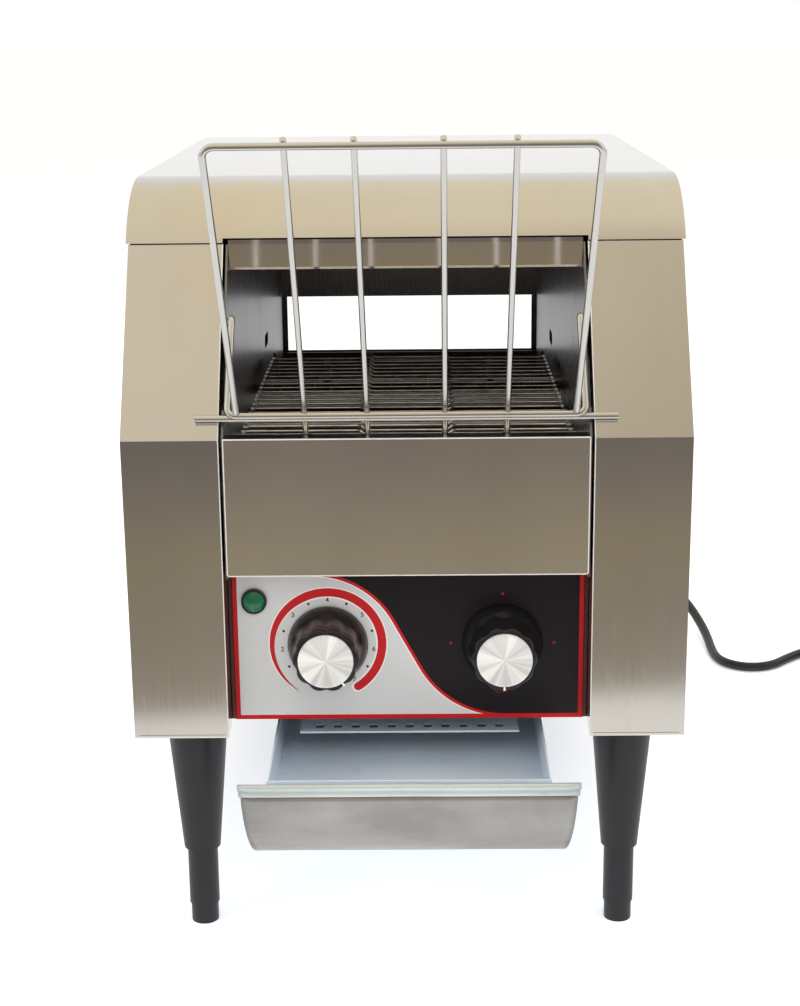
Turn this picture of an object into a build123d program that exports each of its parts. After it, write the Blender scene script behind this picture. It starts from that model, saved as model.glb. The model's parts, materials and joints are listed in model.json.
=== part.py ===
from build123d import *
import os
from math import acos, asin, atan2, cos, degrees, hypot, pi, radians, sin, tan

# Countertop conveyor toaster: bread rides a wire belt between two banks of quartz heaters,
# drops off the back of the belt and slides down a chute into a tray under the control panel.
# Millimetres, +Z up. The origin is on the table, under the middle of the whole toaster.
# +X is the user's right and the user stands at -Y. In the profiles below a depth is measured
# back from the front faces of the two side housings.

# ---- Driving dimensions ----
body_width = 290.0
body_depth = 436.0
base_z = 119.8  # underside of the body
knee_z = 281.1  # where the upright front turns into the slope
shoulder_z = 373.1  # top of the slope, under the lid
shoulder_depth = 57.4
cover_z = 404.0
sheet = 1.0
opening_half = 95.5  # half the clear width between the two side housings
chamber_half = 93.0  # half the clear width between the chamber walls
seam = 0.8  # dark gap under the lid
lap = 1.2  # how far the lid stands out over the housings
fit = 0.3  # gap between sheets that only lie side by side
running = 0.05  # radial clearance of a shaft in its bush

belt_pitch = 11.5
belt_wire = 1.6
belt_half = 86.0
belt_bend_x = 25.0  # the two inner rows of bends
belt_dip_x = 17.0  # where the middle of a wire comes back down
belt_lift = 2.9  # how far a bend climbs over the next wire
belt_overreach = 1.6
sprocket_teeth = 8
shaft_radius = 4.0
shaft_z = 260.2
front_shaft_depth = 35.0
straight_links = 19

rack_wire = 3.8
rack_rod = 3.0
rack_length = 162.0
rack_lean = 59.0  # degrees above the horizontal
rack_half = 86.0
rail_climb = 11.0  # how far up the slope the lower rail and its rest rod lie
touch = 0.05  # between wires that are welded where they cross

plate_half = 93.2
plate_low_z = 209.0
plate_top_z = 281.7
panel_half = 93.5
panel_depth = 22.0
panel_low_z = 121.5
panel_return = 12.0  # the panel's side returns
knob_z = 164.3
speed_knob_x = -43.0
selector_knob_x = 50.0
lamp_x = -81.8
lamp_z = 188.6

tray_half = 73.0
tray_floor_z = 88.0
tray_rim_z = 110.5
lip_half = 87.5
lip_radius = 47.5
lip_top_z = 111.0
lip_depth = -40.5  # the lip stands this far in front of the housings

leg_x = 115.3
front_leg_depth = 28.0
rear_leg_inset = 34.0  # the rear legs stand this far in from the back
leg_length = 74.8

cord_radius = 3.5
cord_sides = 6  # the lead's plain solid has flats
wire_sides = 8  # and so has the rack's wire
relief_length = 34.0  # the gland's sleeve stands out behind

# ---- Sizes that follow ----
slope = atan2(shoulder_z - knee_z, shoulder_depth)
wire_out = rack_wire / 2 + fit  # the rest rod lies this far off the slope
rail_out = wire_out + rack_wire + touch  # and the rail is welded in front of it


def on_slope(climb, inward):
    """Depth and height of a point up the slope from the knee, and in from its face."""
    return (
        climb * cos(slope) + inward * sin(slope),
        knee_z + climb * sin(slope) - inward * cos(slope),
    )


rail_depth, rail_z = on_slope(rail_climb, -rail_out)
rack_reach = rack_length * cos(radians(rack_lean)) - rail_depth + rack_wire / 2
rear_depth = body_depth - lap  # back edges of the housings
front = (rack_reach - (rear_depth - fit + relief_length)) / 2  # Y of the front faces
rear_leg_depth = body_depth - rear_leg_inset
rear_shaft_depth = front_shaft_depth + straight_links * belt_pitch
sprocket_radius = belt_pitch / 2 / sin(pi / sprocket_teeth)
body_half = body_width / 2
inside_half = body_half - sheet - fit
cover_half = body_half + lap
floor_top_z = base_z + lap
wall_rear_depth = rear_depth - 16


def side_plane(x):
    """Depth runs along its first axis and height along its second; it faces +X."""
    return Plane(origin=(x, front, 0), x_dir=(0, 1, 0), z_dir=(1, 0, 0))


def face_plane(depth):
    """Seen from the user: X to the right and Z up; it faces the user."""
    return Plane(origin=(0, front + depth, 0), x_dir=(1, 0, 0), z_dir=(0, -1, 0))


def floor_plane(z):
    """Seen from above: X and depth; it faces up."""
    return Plane(origin=(0, front, z), x_dir=(1, 0, 0), z_dir=(0, 0, 1))


def front_edge(back, low=base_z, high=shoulder_z):
    """Bottom, knee and top of the front outline, moved back into the body."""
    knee = knee_z - back * cos(slope) + back * (1 - sin(slope)) * tan(slope)
    climb = (high - knee_z + back * cos(slope)) / sin(slope)
    return (back, low), (back, knee), on_slope(climb, back)


def mirrored(piece):
    """The left-hand twin of a right-hand piece."""
    with BuildPart() as twin:
        mirror(piece.part, about=Plane.YZ)
    return twin


pieces = []


def finish(name, piece):
    """Label a finished sub-part and keep it for the export."""
    piece.part.label = name
    pieces.append(piece.part)
    print(f"{name:22s} {len(piece.solids()):3d} solids {piece.part.volume:12.1f} mm3")


def folded_sheet(half_width, radius, side, *points, thickness=sheet):
    """A bent sheet: its profile in depth and height, and half its width."""
    with BuildPart() as piece:
        with BuildSketch(side_plane(-half_width)):
            with BuildLine():
                FilletPolyline(*points, radius=radius)
                offset(amount=thickness, side=side)
            make_face()
        extrude(amount=2 * half_width)
    return piece


# ---- Side housings ----
flange = 18.0  # return flange along the opening
vent_pitch = 12.3
vent_radius = 3.3
punch_sides = 6  # small punched holes are drawn with few sides
upright_vents = 6
slope_vents = 4
tongue = 12.0  # the side wall reaches up this far inside the lid
louvre_count = 6
louvre_length = 56.0
louvre_height = 4.0

vent_knee = front_edge(flange / 2)[1]
vent_points = [
    (vent_knee[0], vent_knee[1] - vent_pitch * (i + 0.5)) for i in range(upright_vents)
]
vent_points += [
    (
        vent_knee[0] + vent_pitch * (i + 0.5) * cos(slope),
        vent_knee[1] + vent_pitch * (i + 0.5) * sin(slope),
    )
    for i in range(slope_vents)
]

with BuildPart() as right_housing:
    with BuildSketch(side_plane(opening_half)):
        with BuildLine():
            Polyline(*front_edge(0), (rear_depth, shoulder_z), (rear_depth, base_z), close=True)
        make_face()
    extrude(amount=body_half - opening_half)
    open_sides = [
        faces().sort_by(Axis.Z)[0],
        faces().sort_by(Axis.Z)[-1],
        faces().sort_by(Axis.Y)[-1],
    ]
    offset(amount=-sheet, openings=open_sides)
    with BuildSketch(side_plane(opening_half - sheet)):
        with BuildLine():
            low, knee, high = front_edge(flange, base_z - sheet, shoulder_z + sheet)
            far = rear_depth + sheet
            Polyline(low, knee, high, (far, high[1]), (far, low[1]), close=True)
        make_face()
    extrude(amount=3 * sheet, mode=Mode.SUBTRACT)
    with BuildSketch(side_plane(opening_half - sheet)):
        with Locations(*vent_points):
            RegularPolygon(vent_radius, punch_sides)
    extrude(amount=3 * sheet, mode=Mode.SUBTRACT)
    with BuildSketch(side_plane(body_half - sheet)):
        with BuildLine():
            tongue_front = shoulder_depth + 2 * tongue
            tongue_rear = rear_depth - 2 * sheet
            Polyline(
                (tongue_front - tongue / 2, shoulder_z - sheet),
                (tongue_front, shoulder_z + tongue),
                (tongue_rear, shoulder_z + tongue),
                (tongue_rear, shoulder_z - sheet),
                close=True,
            )
        make_face()
    extrude(amount=sheet)
    with BuildSketch(side_plane(body_half - 2 * sheet)):
        with Locations((rear_depth - 96, base_z + 70)):
            with GridLocations(0, 11, 1, louvre_count):
                Rectangle(louvre_length, louvre_height)
    extrude(amount=3 * sheet, mode=Mode.SUBTRACT)
finish("right_housing", right_housing)
left_housing = mirrored(right_housing)
finish("left_housing", left_housing)

# ---- Lid ----
lid_z = shoulder_z + seam
lid_slope = front_edge(-lap, lid_z, cover_z)
lid_front = on_slope((lid_z - knee_z - lap * cos(slope)) / sin(slope), -lap)
lid_bend = 62.0  # radius of the rolled front
lid_rear_bend = 6.0
centre_rise = 2.2  # the front edge steps up over the opening

with BuildPart() as cover:
    with BuildSketch(side_plane(-cover_half)):
        with BuildLine():
            Polyline(lid_front, lid_slope[2], (body_depth, cover_z), (body_depth, lid_z), close=True)
        make_face()
        fillet(vertices().group_by(Axis.Y)[-1].sort_by(Axis.X)[0], radius=lid_bend)
        fillet(vertices().group_by(Axis.Y)[-1].sort_by(Axis.X)[-1], radius=lid_rear_bend)
    extrude(amount=2 * cover_half)
    offset(amount=-sheet, openings=faces().sort_by(Axis.Z)[0])
    with BuildSketch(floor_plane(lid_z - sheet)):
        with Locations((0, lid_front[0])):
            Rectangle(2 * opening_half, 4 * lap + 4 * sheet)
    extrude(amount=sheet + centre_rise, mode=Mode.SUBTRACT)
finish("cover", cover)

# ---- Heating chamber ----
wall_back = 2.0  # the walls stand this far behind the front outline
wall_step_z = plate_low_z - 2.0  # below this the walls stop behind the control panel
wall_step_depth = panel_depth + 2.5
wall_top_z = shoulder_z - 0.5
bush_size = 14.0  # the bushes are square where they pass through the walls
heater_radius = 5.0
heater_seat = 10.6
upper_heater_z = 356.0
upper_heater_depths = (128.0, 196.0, 264.0)
lower_heater_depths = (84.0, 140.0, 196.0)
heater_spots = [(d, upper_heater_z) for d in upper_heater_depths]
heater_spots += [(d, shaft_z) for d in lower_heater_depths]
shaft_spots = [(front_shaft_depth, shaft_z), (rear_shaft_depth, shaft_z)]
notch_low = 17.0  # the notch for the rack's hooks, measured up the slope
notch_high = 67.0
notch_deep = 13.0
notch_bend = 8.0
wall_slot = (279.0, 283.5)

with BuildPart() as right_chamber_wall:
    with BuildSketch(side_plane(chamber_half)):
        with BuildLine():
            _, wall_knee, wall_high = front_edge(wall_back, base_z, wall_top_z)
            Polyline(
                (wall_step_depth, floor_top_z),
                (wall_step_depth, wall_step_z),
                (wall_back, wall_step_z),
                wall_knee,
                wall_high,
                (wall_rear_depth, wall_top_z),
                (wall_rear_depth, floor_top_z),
                close=True,
            )
        make_face()
        with Locations(*shaft_spots):
            Rectangle(bush_size + 2 * running, bush_size + 2 * running, mode=Mode.SUBTRACT)
        with Locations(*heater_spots):
            Rectangle(heater_seat, heater_seat, mode=Mode.SUBTRACT)
        with Locations(wall_slot):
            SlotOverall(25, 8.5, mode=Mode.SUBTRACT)
        with BuildLine():
            Polyline(
                on_slope(notch_low, -wall_back),
                on_slope(notch_high, -wall_back),
                on_slope(notch_high, notch_deep),
                on_slope(notch_low, notch_deep),
                close=True,
            )
        make_face(mode=Mode.SUBTRACT)
    extrude(amount=sheet)
    notch_corner = edges().filter_by(Axis.X).sort_by_distance(
        (chamber_half, front + on_slope(notch_high, notch_deep)[0], on_slope(notch_high, notch_deep)[1])
    )[0]
    fillet(notch_corner, radius=notch_bend)
finish("right_chamber_wall", right_chamber_wall)
finish("left_chamber_wall", mirrored(right_chamber_wall))

lining_half = chamber_half - fit
ceiling_z = 366.0
window_top_z = 290.5  # underside of the lintel over the rear window
reflector_z = 234.0
reflector_front = front_shaft_depth + 1.0
reflector_rear = rear_shaft_depth + 8.5
ceiling_front = shoulder_depth + 10.1
trim_rear = shoulder_depth + 28.6
trim_tip = (shoulder_depth + 8.1, shoulder_z - 13.9)

ceiling_reflector = folded_sheet(
    lining_half, 2.0, Side.LEFT,
    (wall_rear_depth - sheet, window_top_z),
    (wall_rear_depth - sheet, ceiling_z),
    (ceiling_front, ceiling_z),
    (ceiling_front, ceiling_z - 5),
)
finish("ceiling_reflector", ceiling_reflector)

upper_trim = folded_sheet(
    lining_half, 1.2, Side.RIGHT,
    (trim_rear, wall_top_z),
    (shoulder_depth + 0.9, wall_top_z),
    trim_tip,
)
finish("upper_trim", upper_trim)

lower_reflector = folded_sheet(
    lining_half, 2.0, Side.LEFT,
    (reflector_front, reflector_z + 5),
    (reflector_front, reflector_z),
    (reflector_rear, reflector_z),
    (reflector_rear, reflector_z - 8),
)
finish("lower_reflector", lower_reflector)

# ---- Front plate and control panel ----
plate_return = 11.2

with BuildPart() as front_plate:
    plate_mid_z = (plate_low_z + plate_top_z) / 2
    plate_height = plate_top_z - plate_low_z
    with BuildSketch(face_plane(sheet)):
        with Locations((0, plate_mid_z)):
            Rectangle(2 * plate_half, plate_height)
    extrude(amount=sheet)
    with BuildSketch(face_plane(plate_return)):
        with Locations((0, plate_mid_z)):
            Rectangle(2 * lining_half, plate_height)
            Rectangle(2 * (lining_half - sheet), plate_height - 2 * sheet, mode=Mode.SUBTRACT)
    extrude(amount=plate_return - sheet)
    with BuildSketch(face_plane(plate_return + sheet)):
        with Locations((0, plate_low_z)):
            Rectangle(2 * body_half, 8 * sheet)
    extrude(amount=plate_return - 5, mode=Mode.SUBTRACT)
finish("front_plate", front_plate)

panel_top_z = reflector_z - 0.5
spindle_radius = 3.0
lamp_hole_radius = 5.2

with BuildPart() as control_panel:
    with BuildSketch(face_plane(panel_depth + sheet)):
        with BuildLine():
            Polyline(
                (-panel_half, panel_low_z),
                (panel_half, panel_low_z),
                (panel_half, wall_step_z - 1),
                (lining_half, wall_step_z - 1),
                (lining_half, panel_top_z),
                (-lining_half, panel_top_z),
                (-lining_half, wall_step_z - 1),
                (-panel_half, wall_step_z - 1),
                close=True,
            )
        make_face()
        with Locations((speed_knob_x, knob_z), (selector_knob_x, knob_z)):
            Circle(spindle_radius + fit, mode=Mode.SUBTRACT)
        with Locations((lamp_x, lamp_z)):
            Circle(lamp_hole_radius, mode=Mode.SUBTRACT)
    extrude(amount=sheet)
    with BuildSketch(face_plane(panel_depth + panel_return)):
        for side in (-1, 1):
            with Locations((side * (lining_half - sheet / 2), (panel_low_z + panel_top_z) / 2)):
                Rectangle(sheet, panel_top_z - panel_low_z)
    extrude(amount=panel_return - sheet)
finish("control_panel", control_panel)

# ---- Floor, rear panel and the guard over the outlet ----
outlet_front = 66.0
outlet_rear = 214.0
outlet_half = 71.0

with BuildPart() as base_plate:
    with BuildSketch(floor_plane(base_z)):
        with BuildLine():
            foot_inner = opening_half + sheet + fit
            foot_front = sheet + fit
            Polyline(
                (-inside_half, foot_front),
                (-foot_inner, foot_front),
                (-foot_inner, panel_depth + 5),
                (foot_inner, panel_depth + 5),
                (foot_inner, foot_front),
                (inside_half, foot_front),
                (inside_half, rear_depth - fit),
                (-inside_half, rear_depth - fit),
                close=True,
            )
        make_face()
        with Locations((0, (outlet_front + outlet_rear) / 2)):
            Rectangle(2 * outlet_half, outlet_rear - outlet_front, mode=Mode.SUBTRACT)
    extrude(amount=floor_top_z - base_z)
finish("base_plate", base_plate)

fan_z = 166.0
fan_half = 40.0
grille_length = 56.0
grille_height = 4.0
window_low_z = 248.0
gland_x = 118.0
gland_z = 140.0
gland_radius = 6.5

with BuildPart() as rear_panel:
    with BuildSketch(face_plane(rear_depth - fit)):
        panel_mid_z = (floor_top_z + shoulder_z - fit) / 2
        with Locations((0, panel_mid_z)):
            Rectangle(2 * inside_half, shoulder_z - fit - floor_top_z)
        with Locations((0, (window_low_z + window_top_z) / 2)):
            Rectangle(2 * (chamber_half - 3), window_top_z - window_low_z, mode=Mode.SUBTRACT)
        with Locations((0, fan_z)):
            with GridLocations(0, 9, 1, 7):
                Rectangle(grille_length, grille_height, mode=Mode.SUBTRACT)
        with Locations((gland_x, gland_z)):
            Circle(gland_radius, mode=Mode.SUBTRACT)
    extrude(amount=sheet)
    with BuildSketch(face_plane(rear_depth - fit)):
        for side in (-1, 1):
            with Locations((side * (inside_half - sheet / 2), panel_mid_z)):
                Rectangle(sheet, shoulder_z - fit - floor_top_z)
    extrude(amount=10)
finish("rear_panel", rear_panel)

guard_half = 60.0
guard_front = 33.0
guard_z = 108.5
guard_holes = 11
guard_pitch = 9.9

guard_blank = folded_sheet(
    guard_half, 1.5, Side.LEFT,
    (guard_front, guard_z),
    (outlet_front - 5, guard_z),
    (outlet_front - 5, base_z),
    (outlet_front - 18, base_z),
)
with BuildPart() as outlet_guard:
    add(guard_blank.part)
    with BuildSketch(floor_plane(guard_z - sheet)):
        with Locations((0, guard_front + 8)):
            with GridLocations(guard_pitch, 0, guard_holes, 1):
                RegularPolygon(3.3, punch_sides)
    extrude(amount=3 * sheet, mode=Mode.SUBTRACT)
finish("outlet_guard", outlet_guard)

# ---- Toast chute ----
chute_low = (86.0, 97.0)
chute_rear = wall_rear_depth - 6
chute_corner_z = window_low_z - 33.0  # leaves the height that the bend takes
chute_bend = 46.0
chute_mouth_half = 68.0

chute_blank = folded_sheet(
    lining_half, chute_bend, Side.RIGHT,
    chute_low,
    (chute_rear, chute_corner_z),
    (chute_rear, window_low_z + 2),
)
with BuildPart() as toast_chute:
    add(chute_blank.part)
    with BuildSketch(floor_plane(0)):
        for side in (-1, 1):
            with BuildLine():
                Polyline(
                    (side * chute_mouth_half, 0),
                    (side * chute_mouth_half, outlet_rear - 30),
                    (side * body_half, outlet_rear + 30),
                    (side * body_half, 0),
                    close=True,
                )
            make_face()
    extrude(amount=cover_z, mode=Mode.SUBTRACT)
finish("toast_chute", toast_chute)

# ---- Toast tray ----
tray_rear = 190.0
rail_front = 60.0
rail_rear = 210.0
rail_lip = 5.5
tray_wall = 1.0
lip_centre = (lip_depth + lip_radius, lip_top_z - 7.0)
lip_end_angle = 242.0
lip_end = (
    lip_centre[0] + lip_radius * cos(radians(lip_end_angle)),
    lip_centre[1] + lip_radius * sin(radians(lip_end_angle)),
)
tray_front = lip_depth + 5.0
lip_taper = 4.0
hem = 7.0

with BuildPart() as tray_lip:
    with BuildSketch(side_plane(-lip_half)):
        with BuildLine():
            Line((lip_depth, lip_top_z), (lip_depth, lip_centre[1]))
            CenterArc(lip_centre, lip_radius, 180, lip_end_angle - 180)
            offset(amount=tray_wall, side=Side.LEFT)
        make_face()
        with Locations((lip_depth - 0.4, lip_top_z - hem / 2)):
            Rectangle(1.4, hem)
    extrude(amount=2 * lip_half)
    with BuildSketch(face_plane(lip_centre[0])):
        for side in (-1, 1):
            with BuildLine():
                top_corner = (side * lip_half, lip_centre[1])
                low_corner = (side * (lip_half - lip_taper), lip_end[1] - 2)
                RadiusArc(top_corner, low_corner, side * 2.2 * lip_radius)
                Polyline(
                    low_corner,
                    (side * body_half, low_corner[1]),
                    (side * body_half, top_corner[1]),
                    top_corner,
                )
            make_face()
    extrude(amount=2 * lip_radius, mode=Mode.SUBTRACT)
finish("tray_lip", tray_lip)

with BuildPart() as tray:
    with BuildSketch(side_plane(-tray_half)):
        with BuildLine():
            Polyline(
                (tray_front, tray_rim_z),
                (tray_front, tray_floor_z - tray_wall),
                (tray_rear, tray_floor_z - tray_wall),
                (tray_rear, tray_rim_z - 9),
                (tray_rear - 9, tray_rim_z),
                close=True,
            )
        make_face()
    extrude(amount=2 * tray_half)
    with BuildSketch(side_plane(-tray_half + tray_wall)):
        with Locations(((tray_front + tray_rear) / 2 + tray_wall, tray_floor_z + 30)):
            Rectangle(tray_rear - tray_front, 60)
    extrude(amount=2 * (tray_half - tray_wall), mode=Mode.SUBTRACT)
    with BuildSketch(floor_plane(tray_rim_z - sheet)):
        for side in (-1, 1):
            with Locations((side * (tray_half + 2.5), (rail_front + tray_rear - 9) / 2)):
                Rectangle(6, tray_rear - 9 - rail_front)
    extrude(amount=sheet)
finish("tray", tray)

with BuildPart() as tray_rails:
    rail_web = tray_half + 8
    ledge_z = tray_rim_z - sheet - fit
    with BuildSketch(face_plane(rail_rear)):
        for side in (-1, 1):
            with BuildLine():
                Polyline(
                    (side * (rail_web + sheet - rail_lip - sheet), ledge_z - sheet),
                    (side * (rail_web + sheet), ledge_z - sheet),
                    (side * (rail_web + sheet), base_z - sheet),
                    (side * (rail_web + 10), base_z - sheet),
                    (side * (rail_web + 10), base_z),
                    (side * rail_web, base_z),
                    (side * rail_web, ledge_z),
                    (side * (rail_web + sheet - rail_lip - sheet), ledge_z),
                    close=True,
                )
            make_face()
    extrude(amount=rail_rear - rail_front)
finish("tray_rails", tray_rails)

# ---- Wire belt: every wire is bent over the next one at its ends and at two inner rows ----
reach = belt_pitch + belt_overreach
half_strand = [
    (-belt_half, reach, belt_lift),
    (-belt_half, 0, 0),
    (-belt_bend_x, 0, 0),
    (-belt_bend_x, reach, belt_lift),
    (-belt_dip_x, reach, 0),
]

with BuildPart() as strand:
    with BuildLine() as strand_line:
        Polyline(*half_strand, *[(-x, y, z) for x, y, z in reversed(half_strand)])
    with BuildSketch(Plane(origin=strand_line.line @ 0, x_dir=(1, 0, 0), z_dir=strand_line.line % 0)):
        Rectangle(belt_wire, belt_wire)
    sweep(transition=Transition.RIGHT)


def belt_joints():
    """Where the wires cross the belt's loop: a straight run, half a wheel, and back."""
    joints = [
        (rear_shaft_depth - belt_pitch * i, shaft_z + sprocket_radius)
        for i in range(straight_links)
    ]
    turns = sprocket_teeth // 2
    for i in range(turns):
        angle = radians(90 + 180 / turns * i)
        joints.append(
            (
                front_shaft_depth + sprocket_radius * cos(angle),
                shaft_z + sprocket_radius * sin(angle),
            )
        )
    middle = (front_shaft_depth + rear_shaft_depth) / 2
    return joints + [(2 * middle - d, 2 * shaft_z - z) for d, z in joints]


joints = belt_joints()
strand_places = []
for here, there in zip(joints, joints[1:] + joints[:1]):
    along = ((there[0] - here[0]) / belt_pitch, (there[1] - here[1]) / belt_pitch)
    strand_places.append(
        Plane(
            origin=(0, front + here[0], here[1]),
            x_dir=(-1, 0, 0),
            z_dir=(0, along[1], -along[0]),
        )
    )

with BuildPart() as wire_belt:
    with Locations(*strand_places):
        add(strand.part)
finish("wire_belt", wire_belt)

# ---- Belt shafts ----
shaft_half = chamber_half + sheet + 6.0
chain_x = chamber_half + sheet + 9.0
wheel_places = (-52.0, 52.0)
wheel_width = 4.0
wheel_root = sprocket_radius - belt_wire / 2 - 0.1
wheel_tip = sprocket_radius + 0.9


def toothed_outline(centre, root, tip, teeth, root_share, tip_share, start):
    """A wheel's outline: for each tooth, a flat root and a flat tip, as shares of a step."""
    step = 2 * pi / teeth
    corners = []
    for i in range(teeth):
        for radius, share in ((root, -root_share), (root, root_share), (tip, 1 - tip_share)):
            angle = start + step * (i + share / 2)
            corners.append((centre[0] + radius * cos(angle), centre[1] + radius * sin(angle)))
        angle = start + step * (i + (1 + tip_share) / 2)
        corners.append((centre[0] + tip * cos(angle), centre[1] + tip * sin(angle)))
    return corners


def belt_shaft(depth, right_end):
    """A plain shaft, carried in a bush at each end."""
    with BuildPart() as shaft:
        with BuildSketch(side_plane(-shaft_half)):
            with Locations((depth, shaft_z)):
                Circle(shaft_radius)
        extrude(amount=shaft_half + right_end)
    return shaft


def belt_wheels(depth):
    """Notched wheels: a belt wire lies in each notch."""
    outline = toothed_outline(
        (depth, shaft_z), wheel_root, wheel_tip, sprocket_teeth, 0.4, 0.15, pi / 2
    )
    with BuildPart() as wheels:
        for x in wheel_places:
            with BuildSketch(side_plane(x - wheel_width / 2)):
                Polygon(*outline, align=None)
                with Locations((depth, shaft_z)):
                    Circle(shaft_radius + 0.02, mode=Mode.SUBTRACT)
            extrude(amount=wheel_width)
    return wheels


finish("front_shaft", belt_shaft(front_shaft_depth, chain_x + 5))
finish("rear_shaft", belt_shaft(rear_shaft_depth, shaft_half))
finish("front_belt_wheels", belt_wheels(front_shaft_depth))
finish("rear_belt_wheels", belt_wheels(rear_shaft_depth))

with BuildPart() as shaft_bushes:
    for x, outward in ((chamber_half, 1), (-chamber_half, -1)):
        with BuildSketch(side_plane(x)):
            with Locations(*shaft_spots):
                Rectangle(bush_size, bush_size)
                Circle(shaft_radius + running, mode=Mode.SUBTRACT)
        extrude(amount=outward * (sheet + 4))
finish("shaft_bushes", shaft_bushes)

# ---- Heaters ----
heater_half = chamber_half + sheet + 5
insulator = 16.0
heater_bore = 2 * heater_radius + 0.2


def heater_bank(spots):
    with BuildPart() as bank:
        with BuildSketch(side_plane(-heater_half)):
            with Locations(*spots):
                Circle(heater_radius)
        extrude(amount=2 * heater_half)
    return bank


finish("upper_heaters", heater_bank(heater_spots[:3]))
finish("lower_heaters", heater_bank(heater_spots[3:]))

with BuildPart() as heater_insulators:
    for start, outward in ((chamber_half + sheet, 1), (-chamber_half - sheet, -1)):
        with BuildSketch(side_plane(start)):
            with Locations(*heater_spots):
                Rectangle(insulator, insulator)
                Rectangle(heater_bore, heater_bore, mode=Mode.SUBTRACT)
        extrude(amount=outward * 4)
finish("heater_insulators", heater_insulators)

# ---- Gear motor and chain ----
motor_spot = (140.0, 176.0)
motor_radius = 29.0
motor_air = 6.5  # between the motor and the side housing
bracket_x = chain_x + 7.0
bracket_sheet = 1.5
motor_length = body_half - sheet - motor_air - bracket_x - bracket_sheet
bracket_foot = motor_length - 2
chain_pitch = 9.525
drive_teeth = 14
motor_teeth = 9
chain_wheel = 3.0
motor_shaft = 4.0
front_spot = (front_shaft_depth, shaft_z)


def chain_radius(teeth):
    return chain_pitch / 2 / sin(pi / teeth)


def chain_wheel_part(spot, teeth, bore):
    """A toothed wheel for the roller chain."""
    pitch_radius = chain_radius(teeth)
    outline = toothed_outline(spot, pitch_radius - 2.6, pitch_radius + 2.2, teeth, 0.45, 0.1, 0)
    with BuildPart() as wheel:
        with BuildSketch(side_plane(chain_x - chain_wheel / 2)):
            Polygon(*outline, align=None)
        extrude(amount=chain_wheel)
        with BuildSketch(side_plane(chain_x - chain_wheel / 2 - 2)):
            with Locations(spot):
                RegularPolygon(bore + 3.5, punch_sides)
        extrude(amount=chain_wheel + 4)
        with BuildSketch(side_plane(chain_x - 10)):
            with Locations(spot):
                Circle(bore + 0.02)
        extrude(amount=20, mode=Mode.SUBTRACT)
    return wheel


finish("drive_chain_wheel", chain_wheel_part(front_spot, drive_teeth, shaft_radius))
finish("motor_chain_wheel", chain_wheel_part(motor_spot, motor_teeth, motor_shaft))


plate_gap = 0.3
plate_thick = 1.0
plate_swell = 3.5
roller_radius = 2.3
run_angle = atan2(motor_spot[1] - front_spot[1], motor_spot[0] - front_spot[0])
centre_gap = hypot(motor_spot[0] - front_spot[0], motor_spot[1] - front_spot[1])
wrap = acos((chain_radius(drive_teeth) - chain_radius(motor_teeth)) / centre_gap)
run_normals = (run_angle + wrap, run_angle - wrap)
run_rollers = int(centre_gap / chain_pitch)


def run_end(spot, teeth, normal, swell):
    """Where a straight run of the chain leaves a wheel."""
    radius = chain_radius(teeth) + swell
    return (spot[0] + radius * cos(normal), spot[1] + radius * sin(normal))


def chain_outline(swell, mode):
    """The chain's line round both wheels, swollen outwards."""
    wheels = ((front_spot, drive_teeth), (motor_spot, motor_teeth))
    first, last = ([run_end(*wheel, normal, swell) for wheel in wheels] for normal in run_normals)
    Polygon(*first, *reversed(last), align=None, mode=mode)
    for spot, teeth in wheels:
        with Locations(spot):
            Circle(chain_radius(teeth) + swell, mode=mode)


roller_places = []
for normal in run_normals:
    start = run_end(front_spot, drive_teeth, normal, 0)
    end = run_end(motor_spot, motor_teeth, normal, 0)
    for i in range(2, run_rollers - 1, 3):
        part_way = i / run_rollers
        roller_places.append(
            (start[0] + (end[0] - start[0]) * part_way, start[1] + (end[1] - start[1]) * part_way)
        )

with BuildPart() as drive_chain:
    for x in (chain_wheel / 2 + plate_gap, -chain_wheel / 2 - plate_gap - plate_thick):
        with BuildSketch(side_plane(chain_x + x)):
            chain_outline(plate_swell, Mode.ADD)
            chain_outline(-plate_swell, Mode.SUBTRACT)
        extrude(amount=plate_thick)
    chain_half = chain_wheel / 2 + plate_gap + plate_thick
    with BuildSketch(side_plane(chain_x - chain_half)):
        with Locations(*roller_places):
            RegularPolygon(roller_radius, 4)
    extrude(amount=2 * chain_half)
finish("drive_chain", drive_chain)

with BuildPart() as motor_bracket:
    with BuildSketch(side_plane(bracket_x)):
        with Locations((motor_spot[0], (floor_top_z + motor_spot[1] + motor_radius + 6) / 2)):
            Rectangle(2 * motor_radius + 8, motor_spot[1] + motor_radius + 6 - floor_top_z)
        with Locations(motor_spot):
            Circle(8, mode=Mode.SUBTRACT)
    extrude(amount=bracket_sheet)
    with BuildSketch(floor_plane(floor_top_z)):
        with Locations((bracket_x + bracket_foot / 2, motor_spot[0])):
            Rectangle(bracket_foot, 2 * motor_radius + 8)
    extrude(amount=bracket_sheet)
finish("motor_bracket", motor_bracket)

with BuildPart() as gear_motor:
    with BuildSketch(side_plane(bracket_x + bracket_sheet)):
        with Locations(motor_spot):
            Circle(motor_radius - 1)
    extrude(amount=motor_length)
    with BuildSketch(side_plane(bracket_x - 1)):
        with Locations(motor_spot):
            Circle(7.5)
    extrude(amount=5)
    with BuildSketch(side_plane(bracket_x - 1)):
        with Locations(motor_spot):
            Circle(motor_shaft + running)
    extrude(amount=12, mode=Mode.SUBTRACT)
finish("gear_motor", gear_motor)

with BuildPart() as motor_spindle:
    with BuildSketch(side_plane(chain_x - 4)):
        with Locations(motor_spot):
            Circle(motor_shaft)
    extrude(amount=bracket_x + 10 - chain_x + 4)
finish("motor_spindle", motor_spindle)

# ---- Control gear ----


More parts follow.
